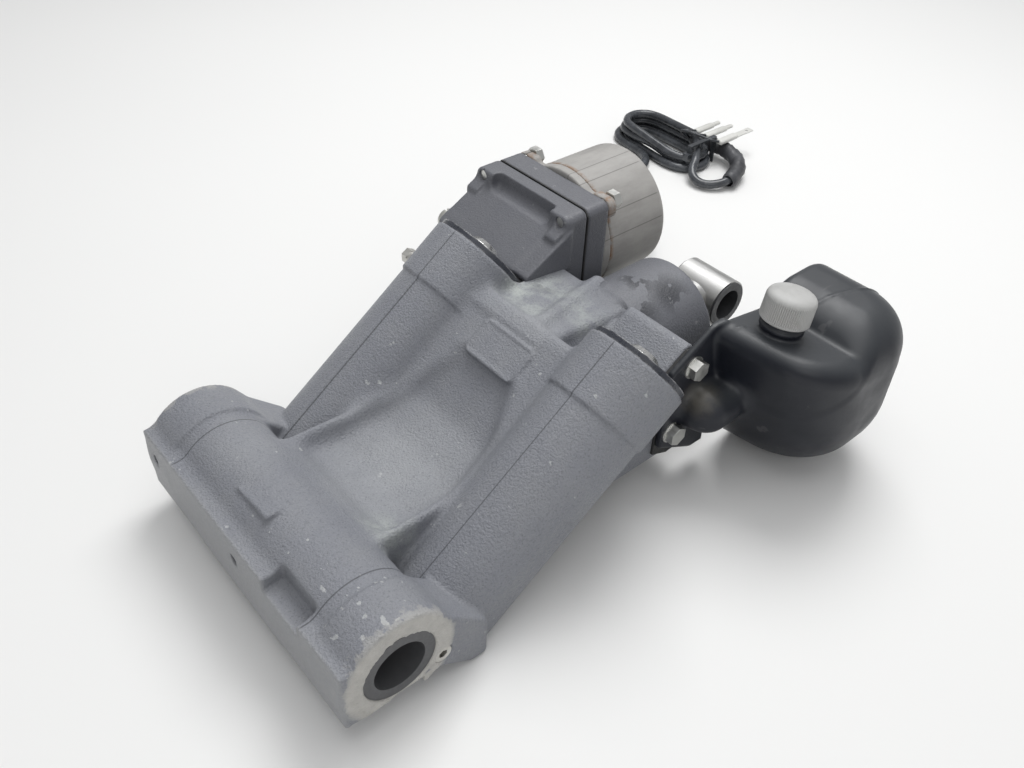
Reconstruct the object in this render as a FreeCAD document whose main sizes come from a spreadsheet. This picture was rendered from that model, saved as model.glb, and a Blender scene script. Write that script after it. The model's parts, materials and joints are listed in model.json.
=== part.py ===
import FreeCAD, Part
import math
import os

import Sketcher
from FreeCAD import Placement, Rotation, Vector

# Hydraulic power trim and tilt unit of an outboard motor, lying on its back.
# Millimetres. The origin is the centre of the lower pivot bore; +X runs along the
# pivot, +Y along the tilt cylinder towards the rod eye, +Z up off the resting plane.

SIZES = [
    # pivot barrel and its flanged bushes
    ("pivot_width", 180.0, "over the two end faces of the pivot barrel"),
    ("saddle_radius", 26.0, "barrel between its end bosses"),
    ("boss_radius", 27.8, "end bosses of the barrel"),
    ("boss_length", 24.0, "each end boss, along the barrel"),
    ("bush_seat_radius", 16.0, "bore of the casting"),
    ("bush_bore_radius", 12.8, "bore of the bushes, for the lower pivot pin"),
    ("bush_length", 36.0, "each bush, flange included"),
    ("bush_flange_radius", 18.2, "flange of each bush"),
    ("bush_flange_depth", 2.0, "thickness of the flange"),
    ("front_face_depth", 28.0, "pivot axis to the machined front face"),
    ("front_face_top", 16.0, "upper edge of the machined face above the axis"),
    ("base_drop", 19.5, "pivot axis down to the flat under the barrel"),
    ("rest_drop", 35.0, "pivot axis down to the resting plane"),
    # trim cylinders
    ("trim_spacing", 120.6, "between the axes of the two trim cylinders"),
    ("trim_angle", 35.64, "degrees between a trim axis and the tilt axis"),
    ("trim_radius", 27.55, "outside of a trim cylinder"),
    ("trim_length", 148.5, "length of a trim cylinder's casting"),
    ("trim_bore_radius", 14.0, "bore of a trim cylinder"),
    ("trim_gland_radius", 18.0, "seat of the gland"),
    ("trim_cap_radius", 26.3, "flange of the gland"),
    ("trim_rod_radius", 9.5, "trim rod"),
    ("trim_stroke", 68.0, "travel of the trim rods"),
    # tilt cylinder
    ("tilt_height", 12.5, "tilt axis above the pivot axis"),
    ("tilt_radius", 35.0, "outside of the tilt cylinder"),
    ("tilt_bore_radius", 17.0, "bore of the tilt cylinder"),
    ("tilt_gland_radius", 22.0, "seat of the tilt gland"),
    ("tilt_rod_radius", 9.0, "tilt rod"),
    ("tilt_end", 256.0, "open end of the tilt cylinder"),
    ("tilt_bore_start", 119.0, "closed end of the tilt bore"),
    # rod eye
    ("eye_distance", 292.0, "lower pivot to upper eye, retracted"),
    ("eye_radius", 15.3, "outside of the eye"),
    ("eye_width", 34.8, "over the flanges of the eye bushes"),
    ("eye_seat_radius", 12.4, "bore of the eye"),
    ("eye_bore_radius", 9.7, "bore of the eye bushes, for the upper pin"),
    ("eye_flange_depth", 1.0, "flange of each eye bush"),
    # motor and pump
    ("motor_x", -75.5, "motor axis"),
    ("motor_z", 41.0, "motor axis"),
    ("can_radius", 39.1, "outside of the motor can"),
    ("can_wall", 2.0, "sheet of the motor can"),
    ("can_end", 290.0, "rear of the motor can"),
    ("flange_half_width", 40.0, "half of the square pump flange, along X"),
    ("flange_front", 203.0, "front of the pump flange"),
    ("flange_joint", 219.0, "pump flange to gasket"),
    ("gasket_depth", 0.8, "pump gasket"),
    ("adapter_end", 236.0, "rear of the motor adapter"),
    ("ear_end", 242.0, "rear of the motor's own flange"),
    ("bolt_reach_x", 33.5, "half spacing of the motor bolts along X"),
    ("bolt_reach_z", 32.5, "half spacing of the motor bolts along Z"),
    ("bolt_radius", 3.0, "motor bolts"),
    ("shaft_radius", 4.0, "armature shaft and pump shafts"),
    ("gear_teeth", 10.0, "teeth of each pump gear"),
    ("gear_module", 1.4, "module of the pump gears"),
    ("gear_spacing", 14.2, "between the axes of the pump gears"),
    ("pump_seat_radius", 20.0, "bore that holds the gear pump"),
    ("gear_width", 7.8, "face width of the pump gears"),
    ("running_gap", 0.05, "radial clearance of a shaft, rod or piston"),
    # reservoir
    ("tank_face", 60.0, "side face of the casting that carries the reservoir"),
    ("tank_wall", 2.5, "wall of the reservoir"),
    ("port_radius", 5.0, "oil port between reservoir and casting"),
    ("neck_tilt", 9.8, "degrees the filler neck leans towards +Y"),
    ("cap_radius", 13.0, "filler cap"),
    ("cap_height", 16.5, "filler cap"),
    ("neck_radius", 10.4, "filler neck"),
    ("neck_bore_radius", 8.0, "hole of the filler neck"),
    # motor lead
    ("lead_radius", 3.5, "sheathed motor lead"),
    ("sleeve_radius", 5.5, "taped end of the lead"),
]

document = FreeCAD.newDocument("TrimTiltUnit")
sheet = document.addObject("Spreadsheet::Sheet", "Sizes")
for row, (alias, number, note) in enumerate(SIZES, start=1):
    sheet.set(f"A{row}", alias)
    sheet.set(f"B{row}", str(number))
    sheet.set(f"C{row}", note)
    sheet.setAlias(f"B{row}", alias)
document.recompute()

X_AXIS = Vector(1, 0, 0)
Y_AXIS = Vector(0, 1, 0)
Z_AXIS = Vector(0, 0, 1)
nodes = []


# ---------------------------------------------------------------- helpers

def size(alias):
    """The number in the sheet's cell of that name."""
    return float(sheet.get(alias))


def bind(thing, prop, amount):
    """Set a property to a number, or bind it to an expression over the sheet."""
    if isinstance(amount, str):
        words = amount.split()
        thing.setExpression(prop, " ".join("Sizes." + w if w[0].isalpha() else w for w in words))
    else:
        setattr(thing, prop, amount)


def along(origin, axis):
    """Placement whose Z axis points along axis."""
    return Placement(Vector(*origin), Rotation(Z_AXIS, Vector(*axis)))


def cylinder(radius, height, origin, axis=(0, 1, 0)):
    thing = document.addObject("Part::Cylinder", "Cylinder")
    bind(thing, "Radius", radius)
    bind(thing, "Height", height)
    thing.Placement = along(origin, axis)
    return thing


def cone(low_radius, high_radius, height, origin, axis=(0, 1, 0)):
    thing = document.addObject("Part::Cone", "Cone")
    bind(thing, "Radius1", low_radius)
    bind(thing, "Radius2", high_radius)
    bind(thing, "Height", height)
    thing.Placement = along(origin, axis)
    return thing


def box(low, high):
    thing = document.addObject("Part::Box", "Box")
    thing.Length, thing.Width, thing.Height = (b - a for a, b in zip(low, high))
    thing.Placement = Placement(Vector(*low), Rotation())
    return thing


def sphere(radius, centre):
    thing = document.addObject("Part::Sphere", "Sphere")
    bind(thing, "Radius", radius)
    thing.Placement = Placement(Vector(*centre), Rotation())
    return thing


def prism(sides, across_flats, height, origin, axis=(0, 1, 0)):
    thing = document.addObject("Part::Prism", "Prism")
    thing.Polygon = sides
    thing.Circumradius = across_flats / 2 / math.cos(math.pi / sides)
    thing.Height = height
    thing.Placement = along(origin, axis)
    return thing


def fuse(*things):
    if len(things) == 1:
        return things[0]
    thing = document.addObject("Part::MultiFuse", "Fuse")
    thing.Shapes = list(things)
    return thing


def joined(*things):
    """Fuse pieces one after another, which suits many that touch in the same planes."""
    whole = things[0]
    for piece in things[1:]:
        thing = document.addObject("Part::Fuse", "Joined")
        thing.Base = whole
        thing.Tool = piece
        whole = thing
    return whole


def cut(base, *tools):
    thing = document.addObject("Part::Cut", "Cut")
    thing.Base = base
    thing.Tool = fuse(*tools)
    return thing


def common(first, second):
    thing = document.addObject("Part::Common", "Common")
    thing.Base = first
    thing.Tool = second
    return thing


def tube(outer, inner, height, origin, axis=(0, 1, 0)):
    return cut(cylinder(outer, height, origin, axis), cylinder(inner, height, origin, axis))


def group(*things):
    """Separate solids that share one node."""
    thing = document.addObject("Part::Compound", "Group")
    thing.Links = list(things)
    return thing


def turned(thing, angle, centre, axis=(0, 1, 0)):
    """A copy of a piece turned about an axis through centre."""
    copy = document.addObject("Part::Compound", "Turned")
    copy.Links = [thing]
    rotation = Rotation(Vector(*axis), angle)
    point = Vector(*centre)
    copy.Placement = Placement(point - rotation.multVec(point), rotation)
    return copy


def node(name, thing):
    """Give a finished piece the name of its node."""
    thing.Label = name
    nodes.append(thing)
    return thing


def origin_plane(body, role):
    return next(item for item in body.Origin.OriginFeatures if item.Role == role)


def outline_body(name, role, lift, outlines, length, holes=()):
    """A Body: closed outlines and round holes sketched on an origin plane and padded.

    The plane is lifted along its normal; holes are (across, up, radius)."""
    body = document.addObject("PartDesign::Body", name)
    sketch = body.newObject("Sketcher::SketchObject", name + "_outline")
    sketch.AttachmentSupport = [(origin_plane(body, role), "")]
    sketch.MapMode = "FlatFace"
    sketch.AttachmentOffset = Placement(Vector(0, 0, lift), Rotation())
    for points in outlines:
        first = sketch.GeometryCount
        count = len(points)
        for i, (across, up) in enumerate(points):
            far_across, far_up = points[(i + 1) % count]
            sketch.addGeometry(Part.LineSegment(Vector(across, up, 0), Vector(far_across, far_up, 0)))
        for i in range(count):
            sketch.addConstraint(
                Sketcher.Constraint("Coincident", first + i, 2, first + (i + 1) % count, 1))
    for across, up, radius in holes:
        bound = isinstance(radius, str)
        ring = sketch.addGeometry(
            Part.Circle(Vector(across, up, 0), Z_AXIS, size(radius) if bound else radius))
        if bound:
            rule = sketch.addConstraint(Sketcher.Constraint("Radius", ring, size(radius)))
            sketch.setExpression(f"Constraints[{rule}]", "Sizes." + radius)
        else:
            sketch.addConstraint(Sketcher.Constraint("Block", ring))
    pad = body.newObject("PartDesign::Pad", name + "_pad")
    pad.Profile = sketch
    bind(pad, "Length", length)
    body.Tip = pad
    document.recompute()
    return body


def side_profile(name, points, low_x, high_x):
    """A (Y, Z) outline padded along X."""
    return outline_body(name, "YZ_Plane", low_x, [points], high_x - low_x)


def coil_spring(radius, wire, length, turns, origin, axis):
    """A round-wire compression spring."""
    helix = Part.makeHelix(length / turns, length, radius)
    profile = Part.Wire([Part.Circle(Vector(radius, 0, 0), Y_AXIS, wire).toShape()])
    thing = document.addObject("Part::Feature", "Spring")
    thing.Shape = Part.Wire(helix.Edges).makePipeShell([profile], True, True)
    thing.Placement = along(origin, axis)
    return thing


# ---------------------------------------------------------------- shared places

half_width = size("pivot_width") / 2
trim_x = size("trim_spacing") / 2
tilt_angle = math.radians(size("trim_angle"))
trim_dir = Vector(0, math.cos(tilt_angle), math.sin(tilt_angle))
trim_up = Vector(0, -math.sin(tilt_angle), math.cos(tilt_angle))
TRIM_TOP = Vector(0, 163.35, 61.75)          # where both trim axes meet their top plane
TRIM_CASTING_END = -3.5                      # end of the casting along a trim axis
rest_z = -size("rest_drop")
tilt_z = size("tilt_height")
eye_y = size("eye_distance")
motor_x = size("motor_x")
motor_z = size("motor_z")
gap = size("running_gap")


def on_trim(side, distance, lift=0.0):
    """A point on a trim axis; side is -1 or 1, distance is measured from the top plane."""
    point = TRIM_TOP + trim_dir * distance + trim_up * lift
    return (side * trim_x, point.y, point.z)


TRIM_AXIS = tuple(trim_dir)


# ---------------------------------------------------------------- cylinder housing

def housing():
    barrel_start = (-half_width, 0, 0)
    barrel = cylinder("saddle_radius", "pivot_width", barrel_start, X_AXIS)
    bosses = [cylinder("boss_radius", "boss_length", (start, 0, 0), X_AXIS)
              for start in (-half_width, half_width - size("boss_length"))]
    front = box((-half_width, -size("front_face_depth"), -size("base_drop")),
                (half_width, -6, size("front_face_top")))
    plate_points = [(-5, 20), (12, 23), (39, -5), (46, -9), (48, rest_z), (40, rest_z),
                    (38.3, -33.2), (26.6, -22.6), (18, -19.5), (-5, -19.5)]
    plates = [side_profile("right_plate", plate_points, 62, half_width),
              side_profile("left_plate", plate_points, -half_width, -62)]
    trims = [cylinder("trim_radius", "trim_length",
                      on_trim(side, TRIM_CASTING_END - size("trim_length")), TRIM_AXIS)
             for side in (-1, 1)]
    web_points = [(144.5, 60.5), (88.5, 20.3), (60, 15.5), (22, 17), (0, 10), (12, -19.5),
                  (150, -20.5), (150, 40)]
    web = side_profile("web", web_points, -41, 41)
    tilt = cylinder("tilt_radius", "tilt_end - 132", (0, 132, tilt_z))
    foot = box((-26, 226, rest_z), (26, 250, -12))
    right_block = side_profile("tank_block", [(120, -10), (176, 36.5), (187, 44.5), (199, 52.5), (203, 51),
                                              (206, 47), (206.5, 36), (214, 30), (215, 10), (206, -16),
                                              (200, -20), (135, -20)],
                               18, size("tank_face"))
    left_block = side_profile("pump_block", [(120, -10), (165, 26), (180, 31), (202.5, 31), (202.5, -12),
                                             (135, -20)], -46, -18)
    badge = box((-18.5, -10.5, -4), (18.5, 10.5, 2.2))
    badge.Placement = Placement(TRIM_TOP + trim_dir * -38.5 + trim_up * 10,
                                Rotation(X_AXIS, size("trim_angle"))) * badge.Placement
    whole = joined(barrel, *bosses, front, *plates, *trims, web, tilt, foot, right_block, left_block, badge)

    # what the mould and the machine shop take away
    below_rest = box((-200, -60, rest_z - 60), (200, 300, rest_z))
    below_barrel = box((-200, -60, rest_z), (200, 12, -size("base_drop")))
    flats = [box((85.7, 50, -60), (120, 170, 120)), box((-120, 50, -60), (-85.7, 170, 120))]
    hollow_side = side_profile("recess_side", [(122, 43), (112, 32), (96, 18), (75, 9), (50, 5), (33, 8),
                                               (24, 17.5), (24, 60), (122, 90)], -40, 40)
    hollow_top = outline_body("recess_top", "XY_Plane", -30,
                              [[(-19, 124), (19, 124), (34, 70), (36, 20), (-36, 20), (-34, 70)]], 140)
    recess = common(hollow_side, hollow_top)
    mould_pocket = box((28, -30, 11), (57, -16, 30))
    underside = [box((x0, 32, -40), (x1, 104, -6)) for x0, x1 in ((-31, -4), (4, 31))]
    pivot_bore = cylinder("bush_seat_radius", "pivot_width", barrel_start, X_AXIS)
    flange_seats = [cylinder("bush_flange_radius", "bush_flange_depth", (start, 0, 0), X_AXIS)
                    for start in (-half_width, half_width - size("bush_flange_depth"))]
    face_holes = [cylinder("bolt_radius", 12, (x, -size("front_face_depth") - 1, 3)) for x in (-80, 0)]
    trim_bores = []
    for side in (-1, 1):
        trim_bores.append(cylinder("trim_bore_radius", 103, on_trim(side, -105), TRIM_AXIS))
        trim_bores.append(cylinder("trim_gland_radius", 17, on_trim(side, -17), TRIM_AXIS))
    tilt_bores = [cylinder("tilt_bore_radius", "tilt_end - tilt_bore_start",
                           (0, size("tilt_bore_start"), tilt_z)),
                  cylinder("tilt_gland_radius", 23, (0, 234, tilt_z))]
    plug_seats = [cylinder(4.5, 12, (side * half_width, 22, -12.5), (-side, 0, 0)) for side in (-1, 1)]
    bleed_seat = cylinder(4, 14, (-88, 136, 53), X_AXIS)
    tank_holes = [cylinder("bolt_radius", 21.5, (40.3, y, z), X_AXIS) for y, z in TANK_BOLTS]
    tank_holes.append(cylinder("port_radius", 25, (38, *TANK_PORT), X_AXIS))
    pump_hole = cylinder("bolt_radius", 18, (-47, *PUMP_BOLT), X_AXIS)
    return node("cylinder_housing", cut(whole, below_rest, below_barrel, *flats, recess, mould_pocket,
                                        *underside, pivot_bore, *flange_seats, *face_holes, *trim_bores,
                                        *tilt_bores, *plug_seats, bleed_seat, *tank_holes, pump_hole))


TANK_BOLTS = ((200, 42), (191.5, 2))         # (Y, Z) of the reservoir's bolts
TANK_PORT = (206, 14)                        # (Y, Z) of the oil port
PUMP_BOLT = (193.5, 8)                       # (Y, Z) of the bolt that holds the pump housing


def pivot_bushes():
    pair = []
    for side in (-1, 1):
        inward = (-side, 0, 0)
        end = (side * half_width, 0, 0)
        body = cylinder("bush_seat_radius", "bush_length", end, inward)
        flange = cylinder("bush_flange_radius", "bush_flange_depth", end, inward)
        bore = cylinder("bush_bore_radius", "bush_length", end, inward)
        pair.append(cut(fuse(body, flange), bore))
    node("pivot_bushes", group(*pair))


def plugs():
    """Socket plugs of the oil passages, one group, and the bleed plug."""
    pair = []
    for side in (-1, 1):
        face = (side * half_width, 22, -12.5)
        inward = (-side, 0, 0)
        pair.append(cut(cylinder(4.5, 10, face, inward), prism(6, 4.0, 4, face, inward)))
    node("passage_plugs", group(*pair))
    head = prism(6, 8, 4, (-88.5, 136, 53), (-1, 0, 0))
    shank = cylinder(4, 14.5, (-88.5, 136, 53), X_AXIS)
    node("bleed_plug", fuse(head, shank))


# ---------------------------------------------------------------- trim cylinders

def trim_set(word, side):
    gland_length = 16.5
    start = on_trim(side, -17)
    body = cylinder("trim_gland_radius", gland_length, start, TRIM_AXIS)
    cap = cylinder("trim_cap_radius", 3, on_trim(side, TRIM_CASTING_END), TRIM_AXIS)
    hole = cylinder("trim_rod_radius + running_gap", gland_length, start, TRIM_AXIS)
    wiper_seat = cylinder(13, 4, on_trim(side, -4.5), TRIM_AXIS)
    node(f"{word}_trim_gland", cut(fuse(body, cap), hole, wiper_seat))
    rod = cylinder("trim_rod_radius", 93, on_trim(side, -91), TRIM_AXIS)
    dome = cone("trim_rod_radius", 6.5, 2.5, on_trim(side, 2), TRIM_AXIS)
    piston = cylinder("trim_bore_radius - running_gap", 12, on_trim(side, -103), TRIM_AXIS)
    groove = tube(15, 12, 3, on_trim(side, -98.5), TRIM_AXIS)
    node(f"{word}_trim_rod", cut(fuse(rod, dome, piston), groove))
    node(f"{word}_trim_seal", tube("trim_bore_radius - running_gap", 12, 3, on_trim(side, -98.5), TRIM_AXIS))


def trim_wipers():
    node("trim_wipers", group(*[tube(13, "trim_rod_radius + running_gap", 4.5, on_trim(side, -4.5), TRIM_AXIS)
                                for side in (-1, 1)]))


# ---------------------------------------------------------------- tilt cylinder

def on_tilt(y):
    return (0, y, tilt_z)


def tilt_set():
    gland = cylinder("tilt_gland_radius", 20, on_tilt(234))
    collar = cylinder(25.5, 2.5, on_tilt(256))
    throat = cylinder("tilt_gland_radius", 2.2, on_tilt(254))
    hole = cylinder("tilt_rod_radius + running_gap", 26, on_tilt(233))
    wiper_seat = cylinder(13.5, 5, on_tilt(253.5))
    node("tilt_gland", cut(fuse(gland, throat, collar), hole, wiper_seat))
    node("tilt_wiper", tube(13.5, "tilt_rod_radius + running_gap", 5.5, on_tilt(253.5)))

    node("tilt_rod", cylinder("tilt_rod_radius", eye_y - 150, on_tilt(135)))
    piston = cylinder("tilt_bore_radius - running_gap", 13, on_tilt(137))
    groove = tube(18, 14.6, 3.5, on_tilt(141.5))
    valves = [cylinder(1.7, 14, (x, 136.5, tilt_z + z)) for x, z in VALVE_PLACES]
    node("tilt_piston", cut(piston, groove, cylinder("tilt_rod_radius", 13, on_tilt(137)), *valves))
    node("tilt_piston_seal", tube("tilt_bore_radius - running_gap", 14.6, 3.5, on_tilt(141.5)))
    node("piston_nut", cut(prism(6, 26, 6, on_tilt(131)), cylinder("tilt_rod_radius", 6, on_tilt(131)),
                           *[cylinder(1.7, 7, (x, 130.5, tilt_z + z)) for x, z in VALVE_PLACES]))
    node("shock_valve_balls", group(*[sphere(1.6, (x, 139, tilt_z + z)) for x, z in VALVE_PLACES]))
    node("shock_valve_springs", group(*[coil_spring(1.1, 0.25, 7.5, 5, (x, 141.2, tilt_z + z), Y_AXIS)
                                        for x, z in VALVE_PLACES]))

    free = cylinder("tilt_bore_radius - running_gap", 10, on_tilt(119.6))
    free_groove = tube(18, 14.6, 3.5, on_tilt(122.8))
    node("free_piston", cut(free, free_groove))
    node("free_piston_seal", tube("tilt_bore_radius - running_gap", 14.6, 3.5, on_tilt(122.8)))


VALVE_PLACES = ((11.6, 0), (-11.6, 0), (0, 11.6), (0, -11.6))    # around the tilt axis


def rod_eye():
    half = size("eye_width") / 2
    flange = size("eye_flange_depth")
    barrel = cylinder("eye_radius", "eye_width - 2 * eye_flange_depth",
                      (-half + flange, eye_y, tilt_z), X_AXIS)
    shank = cylinder(12.5, 12, on_tilt(eye_y - 24))
    socket = cylinder("tilt_rod_radius", 40, on_tilt(eye_y - 55))
    seat = cylinder("eye_seat_radius", "eye_width", (-half, eye_y, tilt_z), X_AXIS)
    node("rod_eye", cut(fuse(barrel, shank), socket, seat))
    pair = []
    for side in (-1, 1):
        end = (side * half, eye_y, tilt_z)
        inward = (-side, 0, 0)
        body = fuse(cylinder("eye_seat_radius", 15, end, inward),
                    cylinder(14.2, "eye_flange_depth", end, inward))
        pair.append(cut(body, cylinder("eye_bore_radius", 15, end, inward)))
    node("eye_bushes", group(*pair))


# ---------------------------------------------------------------- pump and valves

PUMP_DROP = -7.0                             # middle of the gear pump below the motor axis


def on_motor(y, across=0.0, up=0.0):
    return (motor_x + across, y, motor_z + up)


def motor_bolt_places():
    reach_x, reach_z = size("bolt_reach_x"), size("bolt_reach_z")
    return [(sx * reach_x, sz * reach_z) for sx in (-1, 1) for sz in (-1, 1)]


def flange_outline(corner):
    """Square flange outline about the motor axis, (X, Z), with cut corners."""
    reach_x = size("flange_half_width")
    top, bottom = 36.6, -38.8
    points = [(-reach_x, bottom + corner), (-reach_x + corner, bottom), (reach_x - corner, bottom),
              (reach_x, bottom + corner), (reach_x, top - corner), (reach_x - corner, top),
              (-reach_x + corner, top), (-reach_x, top - corner)]
    return [(motor_x + x, motor_z + z) for x, z in points]


def flange_slab(name, start, end, bore):
    """A plate of the square stack; sketched on XZ, whose normal is -Y."""
    holes = [(motor_x + x, motor_z + z, "bolt_radius") for x, z in motor_bolt_places()]
    holes.append((motor_x, motor_z, bore))
    return outline_body(name, "XZ_Plane", -end, [flange_outline(4)], end - start, holes)


def pump_housing():
    front, joint = size("flange_front"), size("flange_joint")
    plate = outline_body("pump_flange", "XZ_Plane", -joint, [flange_outline(4)], joint - front)
    ramp = side_profile("pump_ramp", [(172.2, 52.2), (201, 67.5), (204, 67.5), (204, 50), (174, 50)],
                        motor_x - 36.5, -34)
    block = side_profile("pump_body_block", [(186, 2.4), (186, 34), (174, 50), (172.2, 52.2), (204, 67.5),
                                             (204, 2.4)], motor_x - 36.5, -46)
    rod_relief = box((motor_x - 25, front - 1, 68), (motor_x + 25, front + 6.5, 90))
    cavity = cylinder("pump_seat_radius", joint - 191, on_motor(191, up=PUMP_DROP))
    bolts = [cylinder("bolt_radius", 60, on_motor(200, x, z)) for x, z in motor_bolt_places()]
    valve = cylinder(5, 30, (motor_x - 37, 183, 47), X_AXIS)
    valve_seat = cylinder(3, 40, (motor_x - 37, 183, 47), X_AXIS)
    clamp = cylinder("bolt_radius + running_gap", 70, (motor_x - 38, *PUMP_BOLT), X_AXIS)
    relief = cylinder(4.5, 26, (motor_x, 200, 1.5), Z_AXIS)
    node("pump_housing", cut(fuse(plate, ramp, block), rod_relief, cavity, *bolts, valve, valve_seat, clamp,
                             relief))


def gear(name, centre, start, phase, teeth, module, width):
    """A spur gear with its shaft hole left solid; flanks are straight and leave backlash."""
    pitch = teeth * module / 2
    tip, root = pitch + 0.9 * module, pitch - 1.15 * module
    step = 2 * math.pi / teeth
    points = []
    for tooth in range(teeth):
        middle = phase + tooth * step
        for radius, half in ((root, 0.36), (pitch, 0.215), (tip, 0.10)):
            points.append((radius, middle - half * step))
        for radius, half in ((tip, 0.10), (pitch, 0.215), (root, 0.36)):
            points.append((radius, middle + half * step))
    outline = [(centre[0] + r * math.cos(a), centre[1] + r * math.sin(a)) for r, a in points]
    return outline_body(name, "XZ_Plane", -(start + width), [outline], width)


def gear_pump():
    teeth, module = int(size("gear_teeth")), size("gear_module")
    width, spacing = size("gear_width"), size("gear_spacing")
    pocket_radius = teeth * module / 2 + 0.9 * module + 0.15
    screws = [(side * 15.5, PUMP_DROP) for side in (-1, 1)]
    drive, driven = on_motor(0), on_motor(0, up=-spacing)
    body = cylinder("pump_seat_radius - 0.4", 11, on_motor(191.2, up=PUMP_DROP))
    pockets = [cylinder(pocket_radius, 9, (x, 193.9, z)) for x, _, z in (drive, driven)]
    holes = [cylinder("shaft_radius + running_gap", 4, (x, 191, z)) for x, _, z in (drive, driven)]
    threads = [cylinder(2, 12, on_motor(191, x, z)) for x, z in screws]
    node("pump_body", cut(body, *pockets, *holes, *threads))
    cover = cylinder("pump_seat_radius - 0.4", 5, on_motor(202.2, up=PUMP_DROP))
    cover_holes = [cylinder("shaft_radius + running_gap", 6, (x, 202, z)) for x, _, z in (drive, driven)]
    cover_threads = [cylinder(2, 6, on_motor(202, x, z)) for x, z in screws]
    node("pump_cover", cut(cover, *cover_holes, *cover_threads))
    node("pump_screws", group(*[fuse(cylinder(2, 15, on_motor(192.2, x, z)),
                                     cylinder(3.4, 3, on_motor(207.2, x, z))) for x, z in screws]))
    drive_teeth = gear("drive_teeth", (drive[0], drive[2]), 194.1, math.radians(-90), teeth, module, width)
    driven_teeth = gear("driven_teeth", (driven[0], driven[2]), 194.1,
                        math.radians(90) + math.pi / teeth, teeth, module, width)
    node("drive_gear", fuse(drive_teeth, cylinder("shaft_radius", 20.5, on_motor(191.8))))
    node("driven_gear", fuse(driven_teeth, cylinder("shaft_radius", 14.5, (driven[0], 191.8, driven[2]))))
    node("pump_coupling", tube(7.5, "shaft_radius", 8, on_motor(208.5)))


def release_valve():
    """Manual release: a needle that slides, and the screw that turns around it."""
    x, y, z = motor_x - 36.5, 183, 47
    needle = fuse(cylinder(1.5, 34, (x - 3, y, z), X_AXIS), cone(2.2, 0.6, 3, (x + 31, y, z), X_AXIS))
    node("release_needle", needle)
    shank = cylinder(4.9, 24, (x, y, z), X_AXIS)
    head = cylinder(6.2, 7.3, (x - 7.3, y, z), X_AXIS)
    slot = box((x - 8, y - 0.9, z - 8), (x - 5, y + 0.9, z + 8))
    node("release_screw", cut(fuse(shank, head), cylinder(1.6, 40, (x - 4, y, z), X_AXIS), slot))


def pump_fastener():
    head = prism(6, 10, 6, (motor_x - 42.5, *PUMP_BOLT), X_AXIS)
    shank = cylinder("bolt_radius", 82, (motor_x - 36.5, *PUMP_BOLT), X_AXIS)
    node("pump_housing_bolt", fuse(head, shank))


# ---------------------------------------------------------------- motor

def motor_shell():
    joint = size("flange_joint") + size("gasket_depth")
    rear, ear_end, can_end = size("adapter_end"), size("ear_end"), size("can_end")
    node("pump_gasket", flange_slab("gasket_plate", size("flange_joint"), joint, 24.0))
    node("motor_adapter", flange_slab("adapter_plate", joint, rear, 11.0))
    places = motor_bolt_places()
    lobes = [cylinder(8.5, "ear_end - adapter_end", on_motor(rear, x, z)) for x, z in places]
    disc = cylinder("can_radius", "ear_end - adapter_end", on_motor(rear))
    holes = [cylinder("bolt_radius", "ear_end - adapter_end", on_motor(rear, x, z)) for x, z in places]
    inner = cylinder(30, "ear_end - adapter_end", on_motor(rear))
    limit = box((motor_x - 40, rear, motor_z - 38.8), (motor_x + 40, ear_end, motor_z + 36.6))
    node("motor_flange", common(cut(fuse(disc, *lobes), inner, *holes), limit))
    shell = cylinder("can_radius", "can_end - ear_end", on_motor(ear_end))
    space = cylinder("can_radius - can_wall", "can_end - ear_end - can_wall", on_motor(ear_end))
    boss = cylinder(10.5, 7, on_motor(281))
    lead_hole = cylinder(5, 6, (LEAD_EXIT[0], can_end - 4, LEAD_EXIT[2]))
    node("motor_can", cut(fuse(cut(shell, space), boss), cylinder(8, 6, on_motor(281)), lead_hole))
    bolts = [fuse(cylinder("bolt_radius", 38, on_motor(204, x, z)),
                  prism(6, 10, 5, on_motor(ear_end, x, z))) for x, z in places]
    node("motor_bolts", group(*bolts))


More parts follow.
